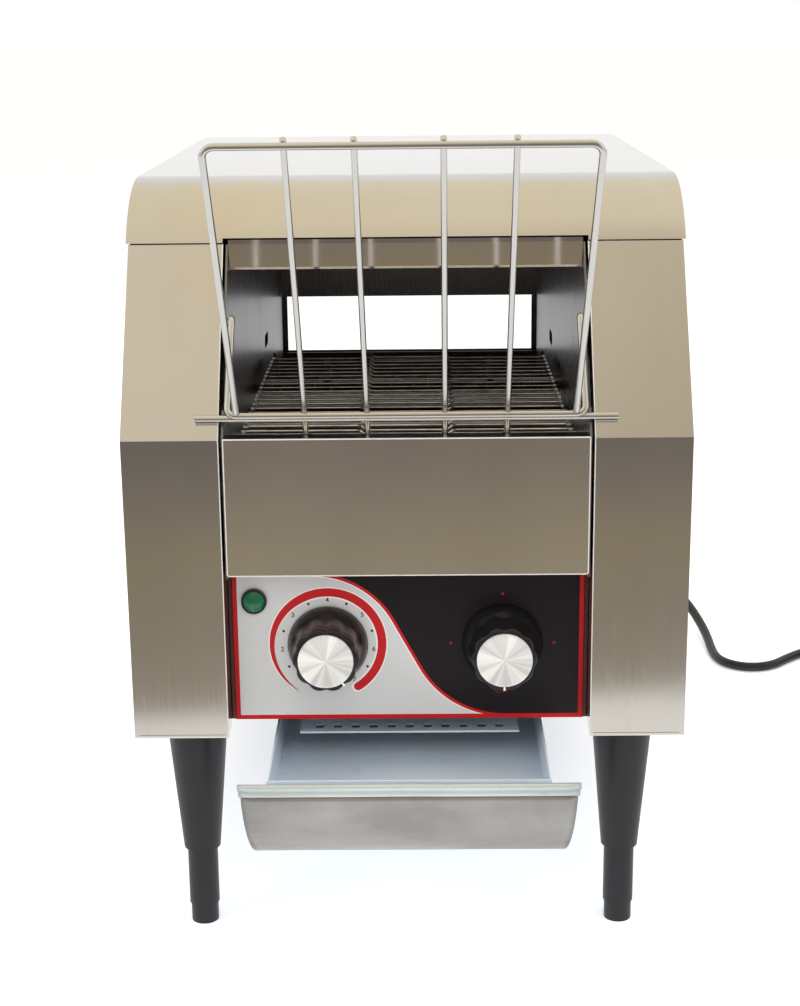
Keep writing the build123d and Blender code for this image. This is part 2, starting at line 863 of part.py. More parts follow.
def control_plane(x, z):
    """On the front of the control panel, facing the user."""
    return Plane(origin=(x, front + panel_depth, z), x_dir=(1, 0, 0), z_dir=(0, -1, 0))


knob_radius = 21.5
skirt_top = 9.0
knob_front = 27.0
knob_grips = 10
grip_radius = 17.2
grip_valley = 15.4
cap_radius = 14.5
cap_rise = 1.5
spindle_back = 22.0

with BuildPart() as knob_shape:
    with BuildSketch(Plane.XZ):
        with BuildLine():
            Polyline(
                (spindle_radius + 0.02, 0.8),
                (knob_radius, 0.8),
                (knob_radius, 2.4),
                (18.2, skirt_top),
                (spindle_radius + 0.02, skirt_top),
                close=True,
            )
        make_face()
    revolve(axis=Axis.Z)
    grips = toothed_outline((0, 0), grip_valley, grip_radius, knob_grips, 0.3, 0.4, 0)
    with BuildSketch(Plane.XY.offset(skirt_top)):
        Polygon(*grips, align=None)
        Circle(spindle_radius + 0.02, mode=Mode.SUBTRACT)
    extrude(amount=knob_front - skirt_top)

with BuildPart() as cap_shape:
    with BuildSketch(Plane.XY.offset(knob_front)):
        Circle(cap_radius)
    extrude(amount=cap_rise)
    chamfer(edges().sort_by(Axis.Z)[-1], length=0.6)

with BuildPart() as spindle_shape:
    with BuildSketch(Plane.XY.offset(-spindle_back)):
        Circle(spindle_radius)
    extrude(amount=spindle_back + 18)

for name, x in (("speed", speed_knob_x), ("selector", selector_knob_x)):
    for suffix, shape in (("knob", knob_shape), ("knob_cap", cap_shape), ("spindle", spindle_shape)):
        with BuildPart() as placed:
            with Locations(control_plane(x, knob_z)):
                add(shape.part)
        finish(f"{name}_{suffix}", placed)

with BuildPart() as speed_regulator:
    with BuildSketch(face_plane(panel_depth + sheet + 30)):
        with Locations((speed_knob_x, knob_z)):
            Rectangle(42, 34)
    extrude(amount=30)
    with BuildSketch(face_plane(panel_depth + spindle_back + 1)):
        with Locations((speed_knob_x, knob_z)):
            Circle(spindle_radius + running)
    extrude(amount=spindle_back + 1, mode=Mode.SUBTRACT)
finish("speed_regulator", speed_regulator)

with BuildPart() as selector_switch:
    with BuildSketch(face_plane(panel_depth + sheet + 36)):
        with Locations((selector_knob_x, knob_z)):
            Circle(18)
    extrude(amount=34)
    with BuildSketch(face_plane(panel_depth + sheet + 4)):
        with Locations((selector_knob_x, knob_z)):
            Rectangle(40, 24)
    extrude(amount=4)
    with BuildSketch(face_plane(panel_depth + spindle_back + 1)):
        with Locations((selector_knob_x, knob_z)):
            Circle(spindle_radius + running)
    extrude(amount=spindle_back + 1, mode=Mode.SUBTRACT)
finish("selector_switch", selector_switch)

with BuildPart() as lamp_shape:
    with BuildSketch(Plane.XZ):
        with BuildLine():
            Polyline(
                (0, -15),
                (lamp_hole_radius - 0.1, -15),
                (lamp_hole_radius - 0.1, 0),
                (7.0, 0),
                (6.6, 2.4),
                (5.8, 2.4),
                (5.8, 0.8),
                (0, 0.8),
                close=True,
            )
        make_face()
    revolve(axis=Axis.Z)

lens_radius = 5.7
lens_curve = 11.0
lens_top = 3.8
lens_turn = degrees(asin(lens_radius / lens_curve))
lens_edge = (lens_radius, lens_top - lens_curve + lens_curve * cos(radians(lens_turn)))

with BuildPart() as lens_shape:
    with BuildSketch(Plane.XZ):
        with BuildLine():
            Polyline((0, lens_top), (0, 0.8), (lens_radius, 0.8), lens_edge)
            CenterArc((0, lens_top - lens_curve), lens_curve, 90 - lens_turn, lens_turn)
        make_face()
    revolve(axis=Axis.Z)

for name, shape in (("lamp_body", lamp_shape), ("lamp_lens", lens_shape)):
    with BuildPart() as placed:
        with Locations(control_plane(lamp_x, lamp_z)):
            add(shape.part)
    finish(name, placed)

with BuildPart() as terminal_block:
    with BuildSketch(floor_plane(floor_top_z)):
        with Locations((gland_x, rear_depth - 48)):
            Rectangle(22, 44)
    extrude(amount=10)
    with BuildSketch(floor_plane(floor_top_z + 10)):
        with Locations((gland_x, rear_depth - 48)):
            Rectangle(10, 44)
            with GridLocations(0, 10, 1, 4):
                Rectangle(22, 2)
    extrude(amount=6)
finish("terminal_block", terminal_block)

# ---- Cooling fan behind the rear grille ----
fan_depth = 25.0
fan_back = rear_depth - fit - sheet
fan_bore = 37.5
fan_hub = 16.0
blade_count = 5
blade_pitch = 38  # degrees

with BuildPart() as fan_frame:
    with BuildSketch(face_plane(fan_back)):
        with Locations((0, fan_z)):
            RectangleRounded(2 * fan_half, 2 * fan_half, 4)
            Circle(fan_bore, mode=Mode.SUBTRACT)
    extrude(amount=fan_depth)
    with BuildSketch(face_plane(fan_back)):
        with Locations((0, fan_z)):
            Circle(fan_hub + 1)
            with PolarLocations(0, 3, start_angle=90):
                with Locations((fan_bore / 2 + 5, 0)):
                    Rectangle(fan_bore, 5)
    extrude(amount=3)
    with BuildSketch(face_plane(fan_back)):
        with Locations((0, fan_z)):
            Circle(2.5)
    extrude(amount=12)
finish("fan_frame", fan_frame)

with BuildPart() as fan_rotor:
    with BuildSketch(face_plane(fan_back - 3.5)):
        with Locations((0, fan_z)):
            Circle(fan_hub)
    extrude(amount=fan_depth - 6)
    blade_tip = fan_bore - 3
    hub_plane = Plane(
        origin=(0, front + fan_back - fan_depth / 2, fan_z), x_dir=(1, 0, 0), z_dir=(0, -1, 0)
    )
    for i in range(blade_count):
        turned = Location((0, 0, 0), (0, 0, 360 / blade_count * i))
        root = Plane(hub_plane * turned * Location((0, 0, 0), (blade_pitch, 0, 0)))
        with BuildSketch(root):
            with Locations(((fan_hub + blade_tip) / 2 - 1, 0)):
                Rectangle(blade_tip - fan_hub + 2, 18)
        extrude(amount=0.7, both=True)
    with BuildSketch(face_plane(fan_back)):
        with Locations((0, fan_z)):
            Circle(2.5 + running)
    extrude(amount=12.5, mode=Mode.SUBTRACT)
finish("fan_rotor", fan_rotor)

# ---- Bread rack: bent and welded wire ----
lean = radians(rack_lean)
rack_plane = Plane(
    origin=(0, front + rail_depth, rail_z),
    x_dir=(1, 0, 0),
    z_dir=(0, -sin(lean), -cos(lean)),
)
rack_bend = 8.0


def wire(points, bend):
    """A wire along straight runs with rounded corners."""
    with BuildPart() as bent:
        with BuildLine() as path:
            FilletPolyline(*points, radius=bend)
        with BuildSketch(Plane(origin=path.line @ 0, z_dir=path.line % 0)):
            RegularPolygon(rack_wire / 2, wire_sides)
        sweep()
    return bent


def on_rack(x, up, outward=0):
    """A point on the leaning rack."""
    return rack_plane.from_local_coords(Vector(x, up, outward))


def on_front(x, climb, inward):
    """A point near the sloping front."""
    depth, z = on_slope(climb, inward)
    return Vector(x, front + depth, z)


frame_start = rack_wire / 2 + 0.5
rack_frame = wire(
    [
        on_rack(-rack_half, frame_start),
        on_rack(-rack_half, rack_length),
        on_rack(rack_half, rack_length),
        on_rack(rack_half, frame_start),
    ],
    rack_bend,
)
finish("rack_frame", rack_frame)

hook_half = chamber_half - 2.7
hook_climb = 60.0
rack_hooks = wire(
    [
        on_front(-hook_half, hook_climb, 9),
        on_front(-hook_half, hook_climb, -rail_out),
        on_front(-hook_half, rail_climb, -rail_out),
        on_front(hook_half, rail_climb, -rail_out),
        on_front(hook_half, hook_climb, -rail_out),
        on_front(hook_half, hook_climb, 9),
    ],
    4.5,
)
finish("rack_hooks", rack_hooks)

rod_half = 107.0
with BuildPart() as rack_rest_rod:
    rod_depth, rod_z = on_slope(rail_climb, -wire_out)
    with BuildSketch(side_plane(-rod_half)):
        with Locations((rod_depth, rod_z)):
            RegularPolygon(rack_wire / 2, wire_sides)
    extrude(amount=2 * rod_half)
finish("rack_rest_rod", rack_rest_rod)

bar_places = (-51.5, -19.8, 19.8, 51.5)
bar_tail = 15.0  # the bars run on below the rail
bar_behind = -(rack_wire + rack_rod) / 2 - touch
rod_behind = rack_plane.to_local_coords(Vector(0, front + rod_depth, rod_z)).Z
with BuildPart() as rack_bars:
    for x in bar_places:
        bar_low = on_rack(x, -bar_tail, rod_behind + bar_behind - touch)
        bar_run = on_rack(x, rack_length + 2, bar_behind) - bar_low
        with BuildSketch(Plane(origin=bar_low, x_dir=(1, 0, 0), z_dir=bar_run)):
            RegularPolygon(rack_rod / 2, wire_sides)
        extrude(amount=bar_run.length)
finish("rack_bars", rack_bars)

# ---- Legs and levelling feet ----
leg_top = 16.5
leg_tip = 10.0
foot_radius = 8.25
foot_tip = 7.5
foot_step = 11.0
foot_gap = 0.3
stem_radius = 5.0
stem_length = 40.0
leg_low_z = base_z - leg_length
leg_bore = stem_length + 10
leg_spots = [
    (side * leg_x, depth) for depth in (front_leg_depth, rear_leg_depth) for side in (-1, 1)
]

with BuildPart() as leg_shape:
    with BuildSketch(Plane.XZ):
        with BuildLine():
            Polyline(
                (stem_radius + running, leg_low_z),
                (leg_tip, leg_low_z),
                (leg_top, base_z),
                (0, base_z),
                (0, leg_low_z + leg_bore),
                (stem_radius + running, leg_low_z + leg_bore),
                close=True,
            )
        make_face()
    revolve(axis=Axis.Z)

with BuildPart() as legs:
    with Locations(*[(x, front + depth, 0) for x, depth in leg_spots]):
        add(leg_shape.part)
finish("legs", legs)

with BuildPart() as foot_shape:
    with BuildSketch(Plane.XZ):
        with BuildLine():
            foot_top = leg_low_z - foot_gap
            Polyline(
                (0, 0),
                (foot_tip, 0),
                (foot_tip, foot_step),
                (foot_radius, foot_step),
                (foot_radius, foot_top),
                (stem_radius, foot_top),
                (stem_radius, foot_top + stem_length),
                (0, foot_top + stem_length),
                close=True,
            )
        make_face()
    revolve(axis=Axis.Z)

corner_names = ("front_left", "front_right", "rear_left", "rear_right")
for name, (x, depth) in zip(corner_names, leg_spots):
    with BuildPart() as foot:
        with Locations((x, front + depth, 0)):
            add(foot_shape.part)
    finish(f"{name}_foot", foot)

# ---- Mains lead: gland, lead, its put-away coil, and the plug ----
gland_plane = Plane(
    origin=(gland_x, front + rear_depth - fit, gland_z), x_dir=(1, 0, 0), z_dir=(0, 1, 0)
)
with BuildPart() as gland_shape:
    with BuildSketch(Plane.XY.offset(-5)):
        Circle(gland_radius - 0.1)
    extrude(amount=5)
    with BuildSketch():
        RegularPolygon(9.5, wire_sides)
    extrude(amount=3)
    with BuildSketch(Plane.XY.offset(3)):
        RegularPolygon(6.6, wire_sides)
    with BuildSketch(Plane.XY.offset(relief_length)):
        RegularPolygon(cord_radius + 1, wire_sides)
    loft()
with BuildPart() as cord_gland:
    with Locations(gland_plane):
        add(gland_shape.part)
finish("cord_gland", cord_gland)

cord_rest_z = 3.6
cord_points = [
    (gland_x, rear_depth - fit + relief_length, gland_z),
    (119, 493, 138),
    (124, 518, 128),
    (135, 539, 110),
    (151, 553, 88),
    (171, 558, 66),
    (192, 555, 46),
    (211, 542, 31),
    (225, 522, 20),
    (232, 498, 12),
    (235, 474, 7),
    (235, 454, 4.2),
    (235.5, 437, cord_rest_z),
    (239.5, 423, cord_rest_z),
    (250.5, 413, cord_rest_z),
    (264.5, 411, cord_rest_z),
    (278, 417, cord_rest_z),
    (289, 429, cord_rest_z),
    (303, 442, cord_rest_z),
    (320, 456.5, cord_rest_z),
]
coil_x = 362.0
coil_depth = 428.0
coil_outer = 48.0
coil_inner = 26.5
coil_height = 14.4
plug_z = 12.0
tail_points = [
    (coil_x + coil_outer - cord_radius, coil_depth - 4, 7.4),
    (coil_x + coil_outer - 1.5, coil_depth - 18, 8.8),
    (coil_x + coil_outer + 2, coil_depth - 33, 10.8),
    (coil_x + coil_outer + 4, coil_depth - 48, plug_z),
]


def corner_radii(points):
    """The largest easy bend at each corner: 0.45 of the shorter run, whatever the turn."""
    radii = []
    for before, here, after in zip(points, points[1:], points[2:]):
        first = Vector(*here) - Vector(*before)
        second = Vector(*after) - Vector(*here)
        turn = radians(first.get_angle(second))
        radii.append(0.45 * min(first.length, second.length) / tan(turn / 2))
    return radii


def lead(points):
    """A round lead along its route; the points give X, depth and height."""
    route = [(x, front + depth, z) for x, depth, z in points]
    radii = corner_radii(route)
    print("bend radii", [round(r) for r in radii])
    with BuildPart() as cable:
        with BuildLine() as path:
            FilletPolyline(*route, radius=radii)
        with BuildSketch(Plane(origin=path.line @ 0, z_dir=path.line % 0)) as section:
            RegularPolygon(cord_radius, cord_sides)
        sweep()
    length = sum(edge.length for edge in path.line.edges())
    filled = cable.part.volume / (section.sketch.area * length)
    print("lead", round(length, 1), "mm, volume over section times length", round(filled, 4))
    return cable


finish("cord", lead(cord_points))
finish("cord_tail", lead(tail_points))

with BuildPart() as coil_shape:
    with BuildSketch(Plane.XZ):
        with Locations(((coil_outer + coil_inner) / 2, coil_height / 2)):
            Rectangle(coil_outer - coil_inner, coil_height)
    revolve(axis=Axis.Z)
with BuildPart() as cord_coil:
    with Locations((coil_x, front + coil_depth, 0)):
        add(coil_shape.part)
finish("cord_coil", cord_coil)

plug_x, plug_depth = tail_points[-1][:2]
plug_length = 38.0
with BuildPart() as plug:
    with BuildSketch(face_plane(plug_depth)):
        with Locations((plug_x, plug_z)):
            RegularPolygon(cord_radius + 1, cord_sides)
    with BuildSketch(face_plane(plug_depth - 14)):
        with Locations((plug_x, plug_z)):
            RegularPolygon(cord_radius + 4.5, cord_sides)
    loft()
    with BuildSketch(face_plane(plug_depth - 14)):
        with Locations((plug_x, plug_z)):
            Rectangle(20, 17)
        chamfer(vertices(), length=3)
    with BuildSketch(face_plane(plug_depth - plug_length)):
        with Locations((plug_x, plug_z)):
            Rectangle(30, 2 * plug_z)
        chamfer(vertices(), length=4)
    loft()
finish("plug", plug)

with BuildPart() as plug_pins:
    with BuildSketch(face_plane(plug_depth - plug_length)):
        with Locations((plug_x - 6.3, plug_z - 3), (plug_x + 6.3, plug_z - 3)):
            Rectangle(1.6, 6.4)
        with Locations((plug_x, plug_z + 6)):
            Circle(2.4)
    extrude(amount=17)
finish("plug_pins", plug_pins)

# ---- Export ----
os.makedirs("parts", exist_ok=True)
for piece in pieces:
    export_step(piece, f"parts/{piece.label}.step")
print(len(pieces), "sub-parts")
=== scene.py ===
"""Looks of the countertop conveyor toaster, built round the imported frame. Metres, +Z up, the user at -Y."""
import json
from math import cos, pi, radians, sin, tan

import bmesh
import bpy
from mathutils import Matrix, Vector


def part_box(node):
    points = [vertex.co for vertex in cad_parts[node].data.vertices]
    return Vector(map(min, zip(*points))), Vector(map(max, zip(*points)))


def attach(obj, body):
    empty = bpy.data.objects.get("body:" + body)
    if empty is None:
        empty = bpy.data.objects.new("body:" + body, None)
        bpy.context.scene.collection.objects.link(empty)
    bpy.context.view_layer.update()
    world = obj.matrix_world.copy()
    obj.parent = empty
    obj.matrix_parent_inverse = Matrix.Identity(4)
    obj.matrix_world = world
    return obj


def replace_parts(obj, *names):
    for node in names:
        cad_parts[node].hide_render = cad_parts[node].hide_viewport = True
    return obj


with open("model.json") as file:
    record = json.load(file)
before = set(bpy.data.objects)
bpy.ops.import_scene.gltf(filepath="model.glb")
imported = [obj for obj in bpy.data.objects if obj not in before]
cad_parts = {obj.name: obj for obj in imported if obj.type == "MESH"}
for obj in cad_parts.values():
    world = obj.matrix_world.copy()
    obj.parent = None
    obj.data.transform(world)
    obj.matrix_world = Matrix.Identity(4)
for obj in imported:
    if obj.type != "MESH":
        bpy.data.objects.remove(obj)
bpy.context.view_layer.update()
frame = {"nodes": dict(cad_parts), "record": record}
nodes = frame["nodes"]
MM = 0.001

# ---- Places taken from the frame ----
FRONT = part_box("right_housing")[0].y  # the front faces of the side housings
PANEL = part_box("control_panel")[0].y  # the front face of the control panel
PANEL_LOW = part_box("control_panel")[0].z
PLATE_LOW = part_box("front_plate")[0].z
HOUSINGS = ((-1, "left_housing"), (1, "right_housing"))  # the side of the body that each one is on


def middle(node):
    low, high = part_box(node)
    return (low + high) / 2


def at(x, depth, z):
    """A place given in millimetres, its depth measured back from the housings' front faces."""
    return Vector((x * MM, FRONT + depth * MM, z * MM))


# ---- Camera: the photograph's own viewpoint ----
SENSOR, LENS = 36.0, 64.28469  # millimetres
EYE = (6.4, -883.2, 488.5)  # its place, as at() takes it
PITCH, YAW, ROLL = radians(15.24), radians(0.645), radians(-0.6)


def make_camera():
    yaw = Matrix.Rotation(YAW, 3, "Z")
    right = yaw @ Vector((1, 0, 0))
    ahead = yaw @ Vector((0, cos(PITCH), -sin(PITCH)))
    up = right.cross(ahead)
    rolled_right = cos(ROLL) * right + sin(ROLL) * up
    rolled_up = cos(ROLL) * up - sin(ROLL) * right
    data = bpy.data.cameras.new("camera")
    data.sensor_width = SENSOR
    data.lens = LENS
    camera = bpy.data.objects.new("camera", data)
    bpy.context.scene.collection.objects.link(camera)
    turn = Matrix((rolled_right, rolled_up, -ahead)).transposed().to_4x4()
    camera.matrix_world = Matrix.Translation(at(*EYE)) @ turn
    bpy.context.scene.camera = camera


make_camera()


# ---- Materials ----
def colour(r, g, b):
    return (r, g, b, 1.0)


def shade(tint, factor):
    """The tint made lighter or darker."""
    return colour(*(min(1.0, c * factor) for c in tint))


class Nodes:
    """A node tree being built; the names and numbers of its sockets are Blender's own."""

    def __init__(self, tree):
        self.tree = tree

    def put(self, socket, value):
        """Links another node's output to the socket, or sets a plain value on it."""
        if isinstance(value, bpy.types.NodeSocket):
            self.tree.links.new(value, socket)
        else:
            socket.default_value = value

    def add(self, kind, inputs=None, **settings):
        node = self.tree.nodes.new("ShaderNode" + kind)
        for key, value in settings.items():
            setattr(node, key, value)
        for key, value in (inputs or {}).items():
            self.put(node.inputs[key], value)
        return node

    def math(self, operation, *values):
        return self.add("Math", dict(enumerate(values)), operation=operation).outputs[0]

    def mix(self, factor, first, second, how="MIX"):
        """Blends two colours."""
        inputs = {0: factor, 6: first, 7: second}
        return self.add("Mix", inputs, data_type="RGBA", blend_type=how).outputs[2]

    def between(self, value, low, high):
        """Runs from 0 to 1 while the value runs from low to high."""
        return self.add("MapRange", {0: value, 1: low, 2: high}).outputs[0]

    def tints(self, value, *stops):
        """A ramp through pairs of position and colour."""
        node = self.add("ValToRGB", {0: value})
        elements = node.color_ramp.elements
        while len(elements) < len(stops):
            elements.new(0.5)
        for element, (position, tint) in zip(elements, stops):
            element.position = position
            element.color = colour(*tint)
        return node.outputs[0]

    def ramp(self, value, *stops):
        """A grey ramp through pairs of position and level."""
        return self.tints(value, *((position, (level,) * 3) for position, level in stops))


class Material(Nodes):
    """A material built round its Principled shader."""

    def __init__(self, name):
        self.material = bpy.data.materials.new(name)
        self.material.use_nodes = True
        super().__init__(self.material.node_tree)
        self.shader = self.tree.nodes["Principled BSDF"]

    def feed(self, name, value):
        self.put(self.shader.inputs[name], value)

    def geometry(self, name):
        return self.add("NewGeometry").outputs[name]

    def noise(self, scale, detail=4.0, stretch=None):
        """Noise in the object's own frame, finer along the axes with a larger stretch."""
        where = self.add("TexCoord").outputs["Object"]
        if stretch:
            where = self.add("Mapping", {"Vector": where, "Scale": stretch}).outputs[0]
        inputs = {"Vector": where, "Scale": scale, "Detail": detail, "Roughness": 0.55}
        return self.add("TexNoise", inputs).outputs["Fac"]

    def bump(self, height, distance, strength=1.0):
        inputs = {"Height": height, "Distance": distance, "Strength": strength}
        self.feed("Normal", self.add("Bump", inputs).outputs[0])


def brushed(name, tint, rough, grain=1.0, streak=0.02, clouds=0.03, warm=0.0):
    """Satin sheet: grain up its faces, slow clouding, faint straw-coloured patches, handling marks."""
    m = Material(name)
    front_grain = m.noise(1.0, 3.0, (1500, 7, 7))
    side_grain = m.noise(1.0, 3.0, (7, 1500, 7))
    normal = m.add("SeparateXYZ", {0: m.geometry("Normal")}).outputs
    sideways = m.math("GREATER_THAN", m.math("ABSOLUTE", normal["X"]), 0.7)
    lines = m.add("Mix", {0: sideways, 2: front_grain, 3: side_grain}).outputs[0]
    cloud = m.ramp(m.noise(9.0, 4.0, (2.2, 1, 1)), (0.35, 0.0), (0.65, 1.0))
    marks = m.ramp(m.noise(55.0, 5.0, (2.4, 1, 1)), (0.56, 0.0), (0.74, 1.0))
    straw = m.ramp(m.noise(5.0, 3.0, (1.6, 1, 1)), (0.45, 0.0), (0.7, warm))
    base = m.mix(cloud, shade(tint, 1 - clouds), shade(tint, 1 + clouds))
    base = m.mix(straw, base, colour(tint[0] * 1.02, tint[1] * 0.97, tint[2] * 0.84))
    deep = m.mix(lines, colour(*(1 - 2 * streak,) * 3), colour(1, 1, 1))
    m.feed("Base Color", m.mix(1.0, base, deep, "MULTIPLY"))
    m.feed("Metallic", 1.0)
    spread = m.math("MULTIPLY_ADD", lines, 0.08, rough - 0.04)
    m.feed("Roughness", m.math("MULTIPLY_ADD", marks, 0.04, spread))
    m.bump(lines, 0.000012, 0.5 * grain)
    return m.material


def worn_sheet(name, tint, metal, mottle):
    """Dull sheet with soft smudges and small dents."""
    m = Material(name)
    smudge = m.ramp(m.noise(30.0, 4.0, (0.6, 1, 1)), (0.36, 0.0), (0.66, 1.0))
    spots = m.ramp(m.noise(120.0, 3.0), (0.62, 0.0), (0.72, 1.0))
    base = m.mix(smudge, shade(tint, 1 - mottle), shade(tint, 1 + mottle / 2))
    m.feed("Base Color", m.mix(m.math("MULTIPLY", spots, 0.3), base, shade(tint, 0.72)))
    m.feed("Metallic", metal)
    m.feed("Roughness", m.math("MULTIPLY_ADD", smudge, -0.08, 0.40))
    m.bump(m.noise(45.0, 3.0), 0.00012, 0.6)
    return m.material


def plain_metal(name, tint, rough, mottle=0.08, scale=90.0, bump=0.00003, metal=1.0):
    m = Material(name)
    speckle = m.noise(scale, 5.0)
    m.feed("Base Color", m.mix(speckle, shade(tint, 1 - mottle), shade(tint, 1 + mottle)))
    m.feed("Metallic", metal)
    m.feed("Roughness", m.math("MULTIPLY_ADD", speckle, 0.2, rough - 0.1))
    m.bump(m.noise(scale * 6, 3.0), bump)
    return m.material


def moulded(name, tint, rough, bump=0.00004, scale=900.0, mottle=0.15):
    """Moulded plastic or rubber: a fine skin and slow changes of gloss."""
    m = Material(name)
    slow = m.noise(30.0, 4.0)
    m.feed("Base Color", m.mix(slow, shade(tint, 1 - mottle), shade(tint, 1 + mottle)))
    m.feed("Roughness", m.math("MULTIPLY_ADD", slow, 0.16, rough - 0.08))
    m.bump(m.noise(scale, 2.0), bump)
    return m.material


def printed(name, tint, rough, fleck):
    """Ink on a satin overlay film."""
    m = Material(name)
    grain = m.noise(2400.0, 2.0)
    dark, light = (colour(*(max(0.0, c + side * fleck) for c in tint)) for side in (-1, 1))
    m.feed("Base Color", m.mix(grain, dark, light))
    m.feed("Roughness", m.math("MULTIPLY_ADD", m.noise(60.0, 3.0), 0.12, rough - 0.06))
    m.feed("Specular IOR Level", 0.3)
    m.bump(grain, 0.000012)
    return m.material


def silver_film():
    """The overlay's silver field: metallic flake under satin film."""
    m = Material("silver_film")
    flake = m.noise(3200.0, 2.0)
    m.feed("Base Color", m.mix(flake, colour(0.60, 0.61, 0.625), colour(0.69, 0.695, 0.705)))
    m.feed("Metallic", 0.12)
    m.feed("Roughness", m.math("MULTIPLY_ADD", m.noise(50.0, 3.0), 0.1, 0.42))
    m.bump(flake, 0.00001)
    return m.material


def wire_with_shaded_lower_run(name, tint, lower_run_shade, rough):
    """Bright wire on the upper run; the lower run takes a dark tint, painted shade for the dark tunnel."""
    m = Material(name)
    height = m.add("SeparateXYZ", {0: m.geometry("Position")}).outputs["Z"]
    upper = m.between(height, 0.262, 0.271)
    stain = m.ramp(m.noise(70.0, 3.0), (0.35, 0.62), (0.6, 1.0))
    # Painted shade: the lower run, picked out by height, takes the dark tint.
    m.feed("Base Color", m.mix(m.math("MULTIPLY", upper, stain), colour(*lower_run_shade), colour(*tint)))
    m.feed("Metallic", 1.0)
    m.feed("Roughness", m.math("MULTIPLY_ADD", upper, -0.25, rough + 0.25))
    m.bump(m.noise(300.0, 2.0), 0.00002, 0.5)
    return m.material


def spun_metal():
    """Knob caps: a turned face with fine rings, and painted highlights in sectors of its base colour."""
    m = Material("spun_metal")
    spot = m.add("TexCoord").outputs["Generated"]
    arm = m.add("VectorMath", {0: spot, 1: (0.5, 0.5, 0.5)}, operation="SUBTRACT").outputs[0]
    flat = m.add("VectorMath", {0: arm, 1: (1, 0, 1)}, operation="MULTIPLY").outputs[0]
    ray = m.add("VectorMath", {0: flat}, operation="NORMALIZE").outputs[0]
    sector = m.add("TexNoise", {"Vector": ray, "Scale": 2.6, "Detail": 3.0}).outputs["Fac"]
    length = m.add("VectorMath", {0: flat}, operation="LENGTH").outputs["Value"]
    rings = m.math("SINE", m.math("MULTIPLY", length, 260.0))
    # Painted highlight: the sectors lighten the base colour as the turned rings' sheen would.
    painted_sheen = m.ramp(sector, (0.38, 0), (0.62, 1))
    m.feed("Base Color", m.mix(painted_sheen, colour(0.66, 0.66, 0.665), colour(0.97, 0.97, 0.96)))
    m.feed("Metallic", 0.45)
    m.feed("Roughness", m.math("MULTIPLY_ADD", sector, 0.12, 0.24))
    m.feed("Anisotropic", 0.8)
    m.feed("Tangent", m.add("Tangent", direction_type="RADIAL", axis="Y").outputs[0])
    m.bump(rings, 0.000004)
    return m.material


def lens_plastic():
    m = Material("green_lens")
    m.feed("Base Color", m.mix(m.noise(160.0, 2.0), colour(0.0, 0.10, 0.04), colour(0.0, 0.17, 0.07)))
    m.feed("Roughness", 0.14)
    m.feed("Coat Weight", 0.6)
    m.feed("Coat Roughness", 0.06)
    return m.material


def quartz_tube():
    m = Material("quartz")
    m.feed("Base Color", m.mix(m.noise(120.0), colour(0.72, 0.70, 0.66), colour(0.86, 0.84, 0.80)))
    m.feed("Roughness", m.math("MULTIPLY_ADD", m.noise(200.0), 0.2, 0.22))
    m.feed("Coat Weight", 0.4)
    m.feed("Coat Roughness", 0.15)
    return m.material


